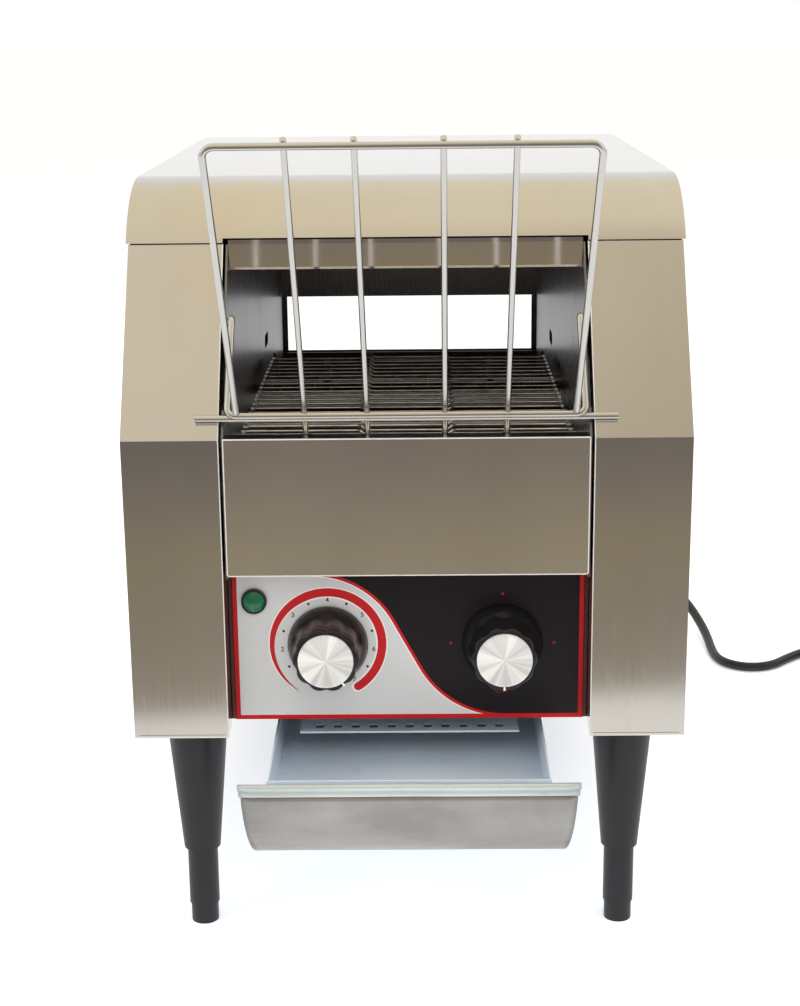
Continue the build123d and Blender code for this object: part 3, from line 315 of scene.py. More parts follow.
STEEL = (0.735, 0.72, 0.695)
looks = {
    "satin_steel": brushed("satin_steel", STEEL, 0.115, warm=0.55),
    # Pale and partly diffuse: the screws' own finish, and painted highlight on the sheet bends.
    "highlight_and_screw_steel": plain_metal("highlight_and_screw_steel", (0.80, 0.79, 0.77), 0.34, 0.04, 200.0, 0.00001, 0.45),
    "lip_steel": worn_sheet("lip_steel", (0.40, 0.395, 0.385), 0.7, 0.2),
    "hem_steel": worn_sheet("hem_steel", (0.62, 0.68, 0.70), 0.55, 0.14),
    # Dark reddish: painted shade inside the slits beside the control panel.
    "slit_shade_red": plain_metal("slit_shade_red", (0.15, 0.06, 0.055), 0.35, metal=0.5),
    # Painted shade: dark lines in the seams, folds and gaps of the sheets.
    "seam_shade": printed("seam_shade", (0.16, 0.125, 0.10), 0.7, 0.05),
    "plate_steel": brushed("plate_steel", (0.86, 0.84, 0.80), 0.15, warm=0.55),
    "dark_steel": brushed("dark_steel", (0.10, 0.10, 0.105), 0.40, 0.5, 0.03, 0.08),
    "bright_steel": brushed("bright_steel", (0.62, 0.62, 0.625), 0.26, 0.6),
    "chamber_steel": brushed("chamber_steel", (0.29, 0.285, 0.30), 0.28, 0.5, 0.03, 0.08),
    "trim_steel": brushed("trim_steel", (0.70, 0.655, 0.63), 0.075, 0.3, 0.01, 0.03, 0.3),
    # Galvanised bluish tone; its near-white, mostly diffuse colour is partly painted reflection of the white
    # table in front.
    "tray_steel": worn_sheet("tray_steel", (0.76, 0.86, 0.98), 0.12, 0.05),
    # The belt wire's second tint is painted shade on its lower run.
    "belt_wire": wire_with_shaded_lower_run("belt_wire", (0.84, 0.82, 0.83), (0.05, 0.045, 0.05), 0.20),
    "chromed_wire": plain_metal("chromed_wire", (0.75, 0.745, 0.73), 0.19, 0.03, 120.0, 0.00001),
    "black_plastic": moulded("black_plastic", (0.010, 0.010, 0.011), 0.26, 0.00001),
    "leg_plastic": moulded("leg_plastic", (0.010, 0.010, 0.014), 0.38),
    "switch_plastic": moulded("switch_plastic", (0.09, 0.09, 0.10), 0.55),
    "knob_metal": spun_metal(),
    "green_lens": lens_plastic(),
    "quartz": quartz_tube(),
    "ceramic": moulded("ceramic", (0.78, 0.75, 0.69), 0.7, 0.00006, 700.0, 0.04),
    "bronze_bush": plain_metal("bronze_bush", (0.42, 0.28, 0.15), 0.38),
    "motor_case": plain_metal("motor_case", (0.42, 0.42, 0.40), 0.42),
    "cord_sheath": moulded("cord_sheath", (0.012, 0.012, 0.013), 0.42),
    "pin_brass": plain_metal("pin_brass", (0.72, 0.56, 0.28), 0.25),
    "printed_panel": printed("panel_black", (0.010, 0.007, 0.010), 0.30, 0.002),
    "silver_film": silver_film(),
    "ink_red": printed("ink_red", (0.52, 0.003, 0.006), 0.5, 0.002),
    "ink_dark_red": printed("ink_dark_red", (0.24, 0.006, 0.010), 0.5, 0.004),
    "ink_white": printed("ink_white", (0.85, 0.85, 0.85), 0.4, 0.02),
    "ink_black": printed("ink_black", (0.012, 0.010, 0.012), 0.5, 0.003),
    "ink_grey": printed("ink_grey", (0.06, 0.055, 0.06), 0.4, 0.01),
}
OTHER_LOOKS = {  # the nodes that don't look like the rest of their slot
    "front_plate": "plate_steel",
    **dict.fromkeys(("right_chamber_wall", "left_chamber_wall", "ceiling_reflector"), "chamber_steel"),
    **dict.fromkeys(("tray", "outlet_guard", "tray_rails"), "tray_steel"),
    # The lower reflector's dark steel is painted shade, for the dark tunnel under the belt.
    **dict.fromkeys(("toast_chute", "base_plate", "lower_reflector"), "dark_steel"),
}
EASED = {  # sheet edges that catch a line of light, and how far they are eased, in millimetres
    "right_housing": 0.4, "left_housing": 0.4, "cover": 0.45, "front_plate": 0.45,
    "control_panel": 0.2, "tray": 0.3, "outlet_guard": 0.2, "rear_panel": 0.3,
}


def dress_nodes():
    """Gives every CAD node its material, and eases the sheet edges."""
    for part in frame["record"]["subparts"]:
        name = part["node"]
        materials = nodes[name].data.materials
        materials.clear()
        materials.append(looks[OTHER_LOOKS.get(name, part["material_slot"])])
    for name, width in EASED.items():
        edge = nodes[name].modifiers.new("eased_edges", "BEVEL")
        edge.width = width * MM
        edge.segments = 2
        edge.limit_method = "ANGLE"
        edge.angle_limit = radians(25)


dress_nodes()


# ---- Making pieces ----
def add_object(name, data, body, look):
    piece = bpy.data.objects.new(name, data)
    bpy.context.scene.collection.objects.link(piece)
    data.materials.append(looks[look])
    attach(piece, body)
    return piece


def tube(name, lines, radius, body, look, sides):
    """Round wires along polylines; more sides make them rounder."""
    data = bpy.data.curves.new(name, "CURVE")
    data.dimensions = "3D"
    data.bevel_depth = radius
    data.bevel_resolution = sides
    data.use_fill_caps = True
    for line in lines:
        spline = data.splines.new("POLY")
        spline.points.add(len(line) - 1)
        for point, place in zip(spline.points, line):
            point.co = (*place, 1)
        spline.use_smooth = True
    return add_object(name, data, body, look)


def rounded(points, bend, steps=4):
    """The polyline with each inner corner turned into a small arc."""
    points = [Vector(p) for p in points]
    line = [points[0]]
    for before, here, after in zip(points, points[1:], points[2:]):
        back = (before - here).normalized()
        on = (after - here).normalized()
        half = back.angle(on) / 2
        cut = min(bend / tan(half), 0.45 * (before - here).length, 0.45 * (after - here).length)
        centre = here + (back + on).normalized() * (cut / cos(half))
        first, last = here + back * cut - centre, here + on * cut - centre
        swing = first.angle(last)
        for i in range(steps + 1):
            share = i / steps
            blend = sin((1 - share) * swing) * first + sin(share * swing) * last
            line.append(centre + blend / sin(swing))
    line.append(points[-1])
    return line


def cast(name, fill, body, look, smooth=False):
    """A mesh piece whose shape the fill function adds to an empty bmesh."""
    mesh = bpy.data.meshes.new(name)
    shape = bmesh.new()
    fill(shape)
    bmesh.ops.recalc_face_normals(shape, faces=shape.faces)
    shape.to_mesh(mesh)
    shape.free()
    if smooth:
        mesh.shade_smooth()
    return add_object(name, mesh, body, look)


def join_rings(shape, rings):
    """Faces between each ring of vertices and the next."""
    for here, there in zip(rings, rings[1:]):
        for i in range(len(here)):
            j = (i + 1) % len(here)
            shape.faces.new((here[i], here[j], there[j], there[i]))


def ring_edges(shape, ring):
    """The edges round a ring of vertices."""
    return [shape.edges.get((ring[i], ring[(i + 1) % len(ring)])) for i in range(len(ring))]


def skin(name, loops, body, look, smooth=False):
    """A closed piece through loops of places, the first and the last filled in."""
    def fill(shape):
        rings = [[shape.verts.new(place) for place in loop] for loop in loops]
        join_rings(shape, rings)
        shape.faces.new(rings[0])
        shape.faces.new(rings[-1])

    return cast(name, fill, body, look, smooth)


# ---- Mains lead: straight out of its gland, down to the table, and into a coil ----
CORD_RADIUS = 3.5 * MM
TABLE = 3.6  # the height of the lead's middle on the table, in millimetres
COIL_LAYER = 7.1  # the coil's upper turns lie this much higher
COIL_START = radians(135)
TURN_POINTS = 16
LAST_TURN = 0.375  # the part of the last turn that is made, up to +X, where the tail goes on
lead_route = [
    (118, 467, 140), (119, 493, 138), (124, 518, 128), (135, 539, 110), (151, 553, 88),
    (171, 558, 66), (192, 555, 46), (211, 542, 31), (225, 522, 20), (232, 498, 12),
    (235, 474, 7), (235, 454, 4.2), (235.5, 437, TABLE), (239.5, 423, TABLE), (250.5, 413, TABLE),
    (264.5, 411, TABLE), (278, 417, TABLE), (289, 429, TABLE), (303, 442, TABLE),
]
tail_route = [(408.5, 410, 8.8), (412, 395, 10.8), (414, 380, 12)]


def coil_route():
    """Clockwise turns, inwards on the table and then outwards on top of them."""
    low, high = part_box("cord_coil")
    centre = (low + high) / 2
    outer = (high.x - low.x) / 2 - CORD_RADIUS
    lanes = [outer - 2 * CORD_RADIUS * i for i in range(4)]
    turns = [(lane, 0) for lane in lanes] + [(lane, 1) for lane in reversed(lanes[:3])]
    route = []
    for i in range(int(TURN_POINTS * (len(turns) - 1 + LAST_TURN))):
        along = i / TURN_POINTS
        turn = int(along)
        share = along - turn
        radius, layer = turns[turn]
        next_radius, next_layer = turns[min(turn + 1, len(turns) - 1)]
        radius += (next_radius - radius) * max(0.0, (share - 0.6) / 0.4)
        layer += (next_layer - layer) * min(1.0, max(0.0, (share - 0.2) / 0.4))
        angle = COIL_START - 2 * pi * along
        x, y = centre.x + radius * cos(angle), centre.y + radius * sin(angle)
        route.append(Vector((x, y, (TABLE + layer * COIL_LAYER) * MM)))
    return route


def make_cord():
    points = [at(*place) for place in lead_route] + coil_route() + [at(*place) for place in tail_route]
    data = bpy.data.curves.new("mains_lead", "CURVE")
    data.dimensions = "3D"
    data.bevel_depth = CORD_RADIUS
    data.bevel_resolution = 5
    data.resolution_u = 6
    data.use_fill_caps = True
    spline = data.splines.new("NURBS")
    spline.points.add(len(points) - 1)
    for point, place in zip(spline.points, points):
        point.co = (*place, 1)
    spline.use_endpoint_u = True
    spline.order_u = 3
    lead = add_object("mains_lead", data, "toaster_body", "cord_sheath")
    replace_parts(lead, "cord", "cord_coil", "cord_tail")


make_cord()


# ---- Wire belt: each wire is bent over the next one, at its ends and at two inner rows ----
BELT_PITCH = 11.5 * MM
BELT_WIRE = 0.8 * MM
BELT_TEETH = 8
BELT_REACH = 13.1 * MM  # along the loop, from a wire to its bends over the next one
BELT_LIFT = 2.9 * MM  # how far those bends stand out of the loop
BELT_BEND_X = 25 * MM  # where the inner rows of bends are
BELT_EASE = 3.5 * MM  # how far the wire has moved inwards once it is past them
BELT_BEND_RADIUS = 1.4 * MM


def belt_stations():
    """Where the wires cross the belt's loop, in Y and Z."""
    front_axle, rear_axle = middle("front_shaft"), middle("rear_shaft")
    radius = BELT_PITCH / 2 / sin(pi / BELT_TEETH)
    links = round((rear_axle.y - front_axle.y) / BELT_PITCH)
    stations = [(rear_axle.y - BELT_PITCH * i, rear_axle.z + radius) for i in range(links)]
    for i in range(BELT_TEETH // 2):
        angle = radians(90 + 360 / BELT_TEETH * i)
        stations.append((front_axle.y + radius * cos(angle), front_axle.z + radius * sin(angle)))
    mid = (front_axle.y + rear_axle.y) / 2
    return stations + [(2 * mid - y, 2 * front_axle.z - z) for y, z in stations]


def make_belt():
    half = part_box("wire_belt")[1].x - BELT_WIRE
    wire = [
        (half, BELT_REACH, BELT_LIFT),
        (half, 0, 0),
        (BELT_BEND_X, 0, 0),
        (BELT_BEND_X - 0.6 * MM, BELT_REACH, BELT_LIFT),
        (BELT_BEND_X - BELT_EASE, BELT_REACH, 0.4 * MM),
    ]
    wire += [(-x, along, out) for x, along, out in reversed(wire)]
    stations = belt_stations()
    lines = []
    for here, there in zip(stations, stations[1:] + stations[:1]):
        ahead = Vector((0, there[0] - here[0], there[1] - here[1])).normalized()
        outward = Vector((0, ahead.z, -ahead.y))
        start = Vector((0, *here))
        line = [start + Vector((x, 0, 0)) + ahead * s + outward * h for x, s, h in wire]
        lines.append(rounded(line, BELT_BEND_RADIUS, 3))
    belt = tube("belt_wires", lines, BELT_WIRE, "toaster_body", "belt_wire", sides=2)
    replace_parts(belt, "wire_belt")


make_belt()


# ---- Bread rack: bent wires, a little wider at the top ----
SLOPE = radians(58.06)
LEAN = radians(59)
RACK_WIRE = 1.72 * MM
RACK_BAR = 1.5 * MM
RACK_ROD = 1.85 * MM
RAIL_OUT = 3.85  # the rail lies this far off the rest rod, in millimetres as all that follows
HOOK_RISE = 55
BAR_TAIL = 15  # the bars run on below the rail
FRAME_RISE = (2.4, 162.4)  # along the frame from the rail: where its sides start, and its top
FRAME_HALF = (85.6, 88.4)  # half its width at those two places
HOOK_HALF = (90.3, 89.0, 91.4)  # the same at the rail, at the top of the hooks, and at their ends
BARS = ((-51.5, -52.5), (-19.8, -21.4), (19.8, 18.2), (51.5, 50.7))  # X of each foot and head


def make_rack():
    up_slope = Vector((0, cos(SLOPE), sin(SLOPE)))
    off_slope = Vector((0, -sin(SLOPE), cos(SLOPE)))
    up_rack = Vector((0, -cos(LEAN), sin(LEAN)))
    behind = Vector((0, sin(LEAN), cos(LEAN)))
    rod = middle("rack_rest_rod")
    rail = rod + off_slope * RAIL_OUT * MM
    side = Vector((MM, 0, 0))
    start, top = (rise * MM for rise in FRAME_RISE)

    def wires(name, lines, radius):
        piece = tube(name, lines, radius, "bread_rack", "chromed_wire", sides=4)
        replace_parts(piece, name.replace("smooth", "rack"))

    low_half, top_half = FRAME_HALF
    frame_line = [
        rail + up_rack * start - side * low_half, rail + up_rack * top - side * top_half,
        rail + up_rack * top + side * top_half, rail + up_rack * start + side * low_half,
    ]
    wires("smooth_frame", [rounded(frame_line, 5.5 * MM, 7)], RACK_WIRE)
    hook_top = rail + up_slope * HOOK_RISE * MM
    hook_end = hook_top - off_slope * 8 * MM - up_slope * 3 * MM
    rail_half, hook_half, end_half = HOOK_HALF
    hook_line = [
        hook_end - side * end_half, hook_top - side * hook_half, rail - side * rail_half,
        rail + side * rail_half, hook_top + side * hook_half, hook_end + side * end_half,
    ]
    wires("smooth_hooks", [rounded(hook_line, 4.5 * MM, 8)], RACK_WIRE)
    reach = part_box("rack_rest_rod")[1].x
    wires("smooth_rest_rod", [[rod - Vector((reach, 0, 0)), rod + Vector((reach, 0, 0))]], RACK_ROD)
    bars = []
    for low_x, top_x in BARS:
        foot = rod + behind * 3.55 * MM - up_rack * BAR_TAIL * MM + side * low_x
        head = rail + behind * 3.3 * MM + up_rack * (top + 1.8 * MM) + side * top_x
        bars.append([foot, head])
    wires("smooth_bars", bars, RACK_BAR)


make_rack()


# ---- Knobs: a coned skirt, a scalloped grip and a white mark, and a turned metal cap ----
GRIPS = 10
KNOB_RINGS = (  # outwards from the panel, radius, and how deep the scallops are, in millimetres
    (0.8, 20.9, 0.0), (1.1, 21.4, 0.0), (2.4, 21.5, 0.0), (5.6, 20.3, 0.0), (8.6, 19.2, 0.1),
    (9.6, 18.4, 0.5), (11.4, 17.9, 0.9), (18.0, 17.7, 1.05), (25.4, 17.5, 1.15), (26.5, 17.1, 1.15),
    (27.0, 16.3, 0.9), (27.0, 14.2, 0.0),
)
CAP_RINGS = (  # slightly dished, with a rounded rim
    (26.9, 14.5, 0.0), (28.1, 14.5, 0.0), (28.4, 14.3, 0.0), (28.5, 13.9, 0.0), (28.35, 12.5, 0.0),
    (28.3, 4.0, 0.0), (28.3, 0.6, 0.0),
)
MARK_OUT = (27.15, 26.5)  # its face and its foot, outwards from the panel
MARK_REACH = (14.6, 16.9)  # its ends, from the axis
MARK_HALF = 0.5


def turned(name, node, body, look, rings, steps):
    """A round piece about a control's axis, in place of its node."""
    axis = middle(node)
    loops = []
    for out, radius, depth in rings:
        loop = []
        for i in range(steps):
            turn = 2 * pi * i / steps
            lobe = (0.5 - 0.5 * cos(GRIPS * turn)) ** 1.6
            reach = (radius - depth * lobe) * MM
            loop.append((axis.x + reach * cos(turn), PANEL - out * MM, axis.z + reach * sin(turn)))
        loops.append(loop)
    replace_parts(skin(name, loops, body, look, smooth=True), node)


def make_knob(node, body, mark_turn):
    turned(node + "_grip", node, body, "black_plastic", KNOB_RINGS, GRIPS * 16)
    knob = middle(node)
    along = Vector((sin(mark_turn), 0, -cos(mark_turn)))
    across = Vector((cos(mark_turn), 0, sin(mark_turn))) * MARK_HALF * MM
    near, far = MARK_REACH
    loops = []
    for out in MARK_OUT:
        base = Vector((knob.x, PANEL - out * MM, knob.z))
        corners = ((near, -1), (near, 1), (far, 1), (far, -1))
        loops.append([base + along * reach * MM + side * across for reach, side in corners])
    skin(node + "_mark", loops, body, "ink_white")


make_knob("speed_knob", "speed_control", radians(35))
make_knob("selector_knob", "selector_control", 0.0)
for knob_cap, control in (("speed_knob_cap", "speed_control"), ("selector_knob_cap", "selector_control")):
    turned(knob_cap + "_turned", knob_cap, control, "knob_metal", CAP_RINGS, 72)


# ---- Tray lip: a curved sheet with a doubled hem along its top, in millimetres ----
LIP_RADIUS = 47.5
LIP_LAST_TURN = 242  # where its curve ends, in degrees; it starts upright, at 180
LIP_TOP = 111.0
LIP_DEPTH = -40.5  # of its upright stretch
LIP_HALF = 86.0
LIP_TAPER = 4.3  # each end comes in by this much towards the foot
LIP_SHEET = 0.9
LIP_HEM_HEIGHT = 7
LIP_HEM = (  # round the rolled hem: depth, height over the face's top, and half the width there
    (-39.4, -0.6, 86.0), (-39.4, 6.2, 87.0), (-39.9, 6.9, 87.5), (-41.3, 7.1, 87.5), (-41.9, 6.6, 87.5),
    (-42.1, 5.6, 87.5), (-42.1, 4.5, 87.5), (-41.7, 3.7, 87.2), (-41.2, 3.4, 86.9), (-41.5, 3.0, 87.0),
    (-41.8, 2.3, 87.0), (-41.8, 1.0, 87.0), (-41.4, 0.3, 86.6), (-40.6, -0.1, 86.0),
)
LIP_COLUMNS = 30


def lip_sheet(name, rows, look):
    """Closed sheet through rows of (depth, height, half width), with slow waves along it."""
    def fill(shape):
        grid = []
        for depth, z, half in rows:
            line = []
            for i in range(LIP_COLUMNS + 1):
                across = 2 * i / LIP_COLUMNS - 1
                sway = 0.10 * sin(5.1 * across + 0.08 * z) + 0.05 * sin(11.3 * across + 1.7)
                line.append(shape.verts.new(at(across * half, depth + sway, z)))
            grid.append(line)
        for here, there in zip(grid, grid[1:] + grid[:1]):
            for i in range(LIP_COLUMNS):
                shape.faces.new((here[i], here[i + 1], there[i + 1], there[i]))
        shape.faces.new([line[0] for line in grid])
        shape.faces.new([line[-1] for line in grid])

    sheet = cast(name, fill, "toast_tray", look)
    for face in sheet.data.polygons:
        face.use_smooth = len(face.vertices) == 4  # all but its two ends
    return sheet


def make_lip():
    start_z = LIP_TOP - LIP_HEM_HEIGHT
    centre = (LIP_DEPTH + LIP_RADIUS, start_z)
    steps = 18

    def arc_rows(radius):
        rows = []
        for i in range(steps + 1):
            share = i / steps
            turn = radians(180 + (LIP_LAST_TURN - 180) * share)
            depth, z = centre[0] + radius * cos(turn), centre[1] + radius * sin(turn)
            rows.append((depth, z, LIP_HALF - LIP_TAPER * share ** 1.15))
        return rows

    outer, inner = arc_rows(LIP_RADIUS), arc_rows(LIP_RADIUS - LIP_SHEET)
    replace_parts(lip_sheet("curved_lip", outer + inner[::-1], "lip_steel"), "tray_lip")
    lip_sheet("lip_hem", [(depth, start_z + up, half) for depth, up, half in LIP_HEM], "hem_steel")
    # Painted shade: a dark line in the crease under the hem.
    seam = [at(x, LIP_DEPTH - 0.45 + 0.1 * sin(x), start_z - 0.15) for x in range(-85, 86, 5)]
    tube("lip_seam_shade", [seam], 0.35 * MM, "toast_tray", "seam_shade", sides=1)


make_lip()


# ---- Painted shade: a dark strip behind the guard's drilled row, so its holes look dark ----
def make_guard_hole_shade():
    low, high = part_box("outlet_guard")
    half = high.x - 3 * MM
    front, back = 36.2, 45.8
    bottom, top = low.z / MM - 0.4, low.z / MM - 0.05
    outline = ((front, bottom), (back, bottom), (back, top), (front, top))
    loops = [[at(0, depth, z) + Vector((x, 0, 0)) for depth, z in outline] for x in (-half, half)]
    # Painted shade: the strip stands in for the shade under the guard's holes.
    skin("guard_hole_shade", loops, "toaster_body", "black_plastic")


make_guard_hole_shade()


# ---- Folded trim over the tunnel mouth ----
TRIM_OUTLINE = (  # depth and height
    (86.0, 372.5), (60.2, 372.5), (59.0, 373.4), (58.6, 375.0), (57.8, 375.2), (57.9, 373.0),
    (59.6, 360.6), (60.1, 359.4), (61.2, 359.1), (65.0, 360.4), (64.8, 361.2), (61.4, 360.6),
    (60.8, 361.2), (59.4, 371.6), (86.0, 371.5),
)


def make_trim():
    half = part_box("upper_trim")[1].x / MM
    loops = [[at(x, depth, z) for depth, z in TRIM_OUTLINE] for x in (-half, half)]
    trim = skin("mouth_trim", loops, "toaster_body", "trim_steel")
    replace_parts(trim, "upper_trim")


make_trim()


# ---- Painted highlights along the sheets' bends and hems; painted shade in their folds and gaps ----
SHOULDER = 281.1  # the height where a housing's front edge starts to lean back
LID_BEND = (57.4, 373.1)  # depth and height of its top end, where the lid's bend starts
EDGE_INSET = 0.25 * MM


def make_highlight_lines():
    low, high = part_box("front_plate")
    y = low.y + 0.3 * MM
    left, right = low.x + EDGE_INSET, high.x - EDGE_INSET
    bottom, top = low.z + EDGE_INSET, high.z - EDGE_INSET
    rim = [Vector((x, y, z)) for x, z in ((left, top), (left, bottom), (right, bottom), (right, top))]
    # Painted highlight: pale beads along the plate's edges, for the light its bends catch.
    tube("plate_highlight", [rounded(rim, 1.2 * MM), [rim[0], rim[3]]], 0.42 * MM,
         "toaster_body", "highlight_and_screw_steel", sides=2)
    hem_y, fold_y = FRONT + 0.2 * MM, FRONT + 0.04 * MM
    lid_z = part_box("cover")[0].z - 0.2 * MM
    highlight_lines, fold_shades, gap_shades = [], [], []
    for side, node in HOUSINGS:
        low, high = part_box(node)
        inner, outer = (high.x, low.x) if side < 0 else (low.x, high.x)
        foot = Vector((inner, hem_y, low.z + 0.3 * MM))
        knee = Vector((inner, hem_y, SHOULDER * MM))
        highlight_lines.append([foot, knee])
        highlight_lines.append([knee, at(0, *LID_BEND) + Vector((inner, 0, 0))])
        highlight_lines.append([foot, Vector((outer - side * 0.3 * MM, hem_y, foot.z))])
        fold_z = low.z + 1.7 * MM
        fold_shades.append([Vector((inner + side * 1.5 * MM, fold_y, fold_z)),
                      Vector((outer - side * 2.5 * MM, fold_y, fold_z))])
        gap_shades.append([Vector((outer, FRONT + 66 * MM, lid_z)), Vector((outer, high.y, lid_z))])
    # Painted highlight: the same beads up the housings' front edges and along their feet.
    tube("housing_highlight_lines", highlight_lines, 0.32 * MM, "toaster_body", "highlight_and_screw_steel", sides=2)
    # Painted shade: dark lines in the folds at the housings' feet and in the gap under the lid's skirt.
    tube("housing_fold_shades", fold_shades, 0.17 * MM, "toaster_body", "seam_shade", sides=1)
    tube("lid_gap_shades", gap_shades, 0.35 * MM, "toaster_body", "seam_shade", sides=1)


make_highlight_lines()


# ---- Painted shade: dark reddish strips for the shade in the slits beside the control panel ----
def make_slit_shades():
    low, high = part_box("control_panel")
    near = low.y + 1.2 * MM
    far = near + 0.8 * MM
    for side, node in HOUSINGS:
        housing_low, housing_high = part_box(node)
        wall, edge = (housing_high.x, low.x) if side < 0 else (housing_low.x, high.x)
        x0, x1 = sorted((wall - side * 0.05 * MM, edge + side * 0.15 * MM))
        outline = ((x0, near), (x1, near), (x1, far), (x0, far))
        loops = [[(x, y, z) for x, y in outline] for z in (low.z, PLATE_LOW)]
        name = node.replace("housing", "slit_shade")
        skin(name, loops, "toaster_body", "slit_shade_red")


make_slit_shades()


# ---- Screws ----
SCREW_RADIUS = 3.0 * MM
SCREW_HEAD = ((1.0, 0.0), (1.0, 0.25), (0.92, 0.46), (0.74, 0.6), (0.45, 0.68))  # in screw radii
CROSS_CORNERS = ((-0.16, 0.40), (0.16, 0.40), (pi / 4, 0.13))  # turn and reach, for each arm


def make_screws(name, places, facing):
    """Pan-head screws with a cross recess, their heads standing out along facing."""
    axis = Vector(facing).normalized()
    side = axis.orthogonal().normalized()
    up = axis.cross(side)
    steps = 24
    circle = [(cos(2 * pi * i / steps), sin(2 * pi * i / steps)) for i in range(steps)]
    cross = [
        (cos(arm * pi / 2 + swing) * reach, sin(arm * pi / 2 + swing) * reach)
        for arm in range(4) for swing, reach in CROSS_CORNERS
    ]

    def fill(shape):
        def ring(place, outline, wide, high):
            level = place + axis * high * SCREW_RADIUS
            return [shape.verts.new(level + (side * a + up * b) * wide * SCREW_RADIUS) for a, b in outline]

        for place in places:
            head = [ring(place, circle, wide, high) for wide, high in SCREW_HEAD]
            join_rings(shape, head)
            shape.faces.new(head[0])
            recess = [ring(place, cross, 1.0, 0.7), ring(place, cross, 0.8, 0.3)]
            join_rings(shape, recess)
            shape.faces.new(recess[1])
            edges = ring_edges(shape, head[-1]) + ring_edges(shape, recess[0])
            bmesh.ops.triangle_fill(shape, edges=edges, use_beauty=True)

    cast(name, fill, "toaster_body", "highlight_and_screw_steel")


def place_screws():
    low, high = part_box("cover")
    for name, x, facing in (("left", low.x, (-1, 0, 0)), ("right", high.x, (1, 0, 0))):
        spots = [Vector((x, y, low.z + 12 * MM)) for y in (low.y + 90 * MM, high.y - 40 * MM)]
        make_screws("lid_screws_" + name, spots, facing)
    low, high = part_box("rear_panel")
    heights = (low.z + 12 * MM, (low.z + high.z) / 2, high.z - 12 * MM)
    spots = [Vector((x, high.y, z)) for x in (low.x + 9 * MM, high.x - 9 * MM) for z in heights]
    make_screws("rear_screws", spots, (0, 1, 0))


place_screws()


# ---- Control panel print ----
BORDER = 2.4 * MM
PRINT_HALF = 93.2 * MM
PRINT_TOP = 206.4 * MM
INK_LAYER = 0.00006
FIGURE_WEIGHT = 0.00006  # how far the figures' strokes are thickened
S_ANGLE = 61.5  # how far each of the S's two bends turns
S_TOP, S_TOP_RADIUS = (-51.1 * MM, 154.4 * MM), 48.6 * MM
S_LOW, S_LOW_RADIUS = (52.4 * MM, 175.4 * MM), 52.4 * MM
DIAL_FIRST, DIAL_STEP = -56.0, 24.3  # degrees, from the figure 7 round to the figure 1
DIAL_RADIUS = 24.6 * MM
SELECTOR_RADIUS = 27.5 * MM


def print_flat(name, outlines, level, look):
    """Ink on the control panel: filled outlines in X and Z, raised by so many layers."""
    front = PANEL - level * INK_LAYER

    def fill(shape):
        for outline in outlines:
            depths = (front, front + INK_LAYER * level)
            rings = [[shape.verts.new((x, y, z)) for x, z in outline] for y in depths]
            join_rings(shape, rings)
            for ring in rings:
                bmesh.ops.triangle_fill(shape, edges=ring_edges(shape, ring), use_beauty=True)

    cast(name, fill, "toaster_body", look)


def on_circle(centre, radius, angle):
    """A point on a circle, its angle in degrees from +X towards +Z."""
    turn = radians(angle)
    return (centre[0] + radius * cos(turn), centre[1] + radius * sin(turn))


def arc(centre, radius, start, end, steps):
    return [on_circle(centre, radius, start + (end - start) * i / steps) for i in range(steps + 1)]


def rectangle(x0, z0, x1, z1):
    return [(x0, z0), (x1, z0), (x1, z1), (x0, z1)]


def swoosh(shift=0.0):
    """The S-shaped edge between silver and black, moved sideways towards the silver."""
    upper = arc(S_TOP, S_TOP_RADIUS - shift, 90, 90 - S_ANGLE, 18)
    lower = arc(S_LOW, S_LOW_RADIUS + shift, 270 - S_ANGLE, 270, 18)
    return upper + lower


def crescent(centre, outer, swell, start=240.0, end=-57.0):
    """The red sweep round the dial: a point that grows into a band with a round end."""
    out, inn = [], []
    steps = 72
    for i in range(steps + 1):
        share = i / steps
        angle = start + (end - start) * share
        thick = swell * min(1.0, (share / 0.42) ** 0.75)
        out.append(on_circle(centre, outer, angle))
        inn.append(on_circle(centre, outer - thick, angle))
    cap = arc(on_circle(centre, outer - swell / 2, end), swell / 2, end, end - 180, 8)
    return out + cap[1:-1] + inn[:0:-1]


def disc(centre, radius, steps):
    return arc(centre, radius, 0, 360 - 360 / steps, steps - 1)


def print_text(name, words, centre, size, level, look):
    """A figure or a plain word on the control panel, raised like the ink."""
    data = bpy.data.curves.new(name, "FONT")
    data.body = words
    data.size = size
    data.align_x = "CENTER"
    data.align_y = "CENTER"
    data.extrude = INK_LAYER / 2
    data.offset = FIGURE_WEIGHT
    text = bpy.data.objects.new(name + "_source", data)
    bpy.context.scene.collection.objects.link(text)
    bpy.context.view_layer.update()
    mesh = bpy.data.meshes.new_from_object(text.evaluated_get(bpy.context.evaluated_depsgraph_get()))
    bpy.data.objects.remove(text)
    place = Matrix.Translation((centre[0], PANEL - level * INK_LAYER, centre[1]))
    mesh.transform(place @ Matrix.Rotation(radians(90), 4, "X"))
    mesh.name = name
    mesh.materials.clear()
    add_object(name, mesh, "toaster_body", look)


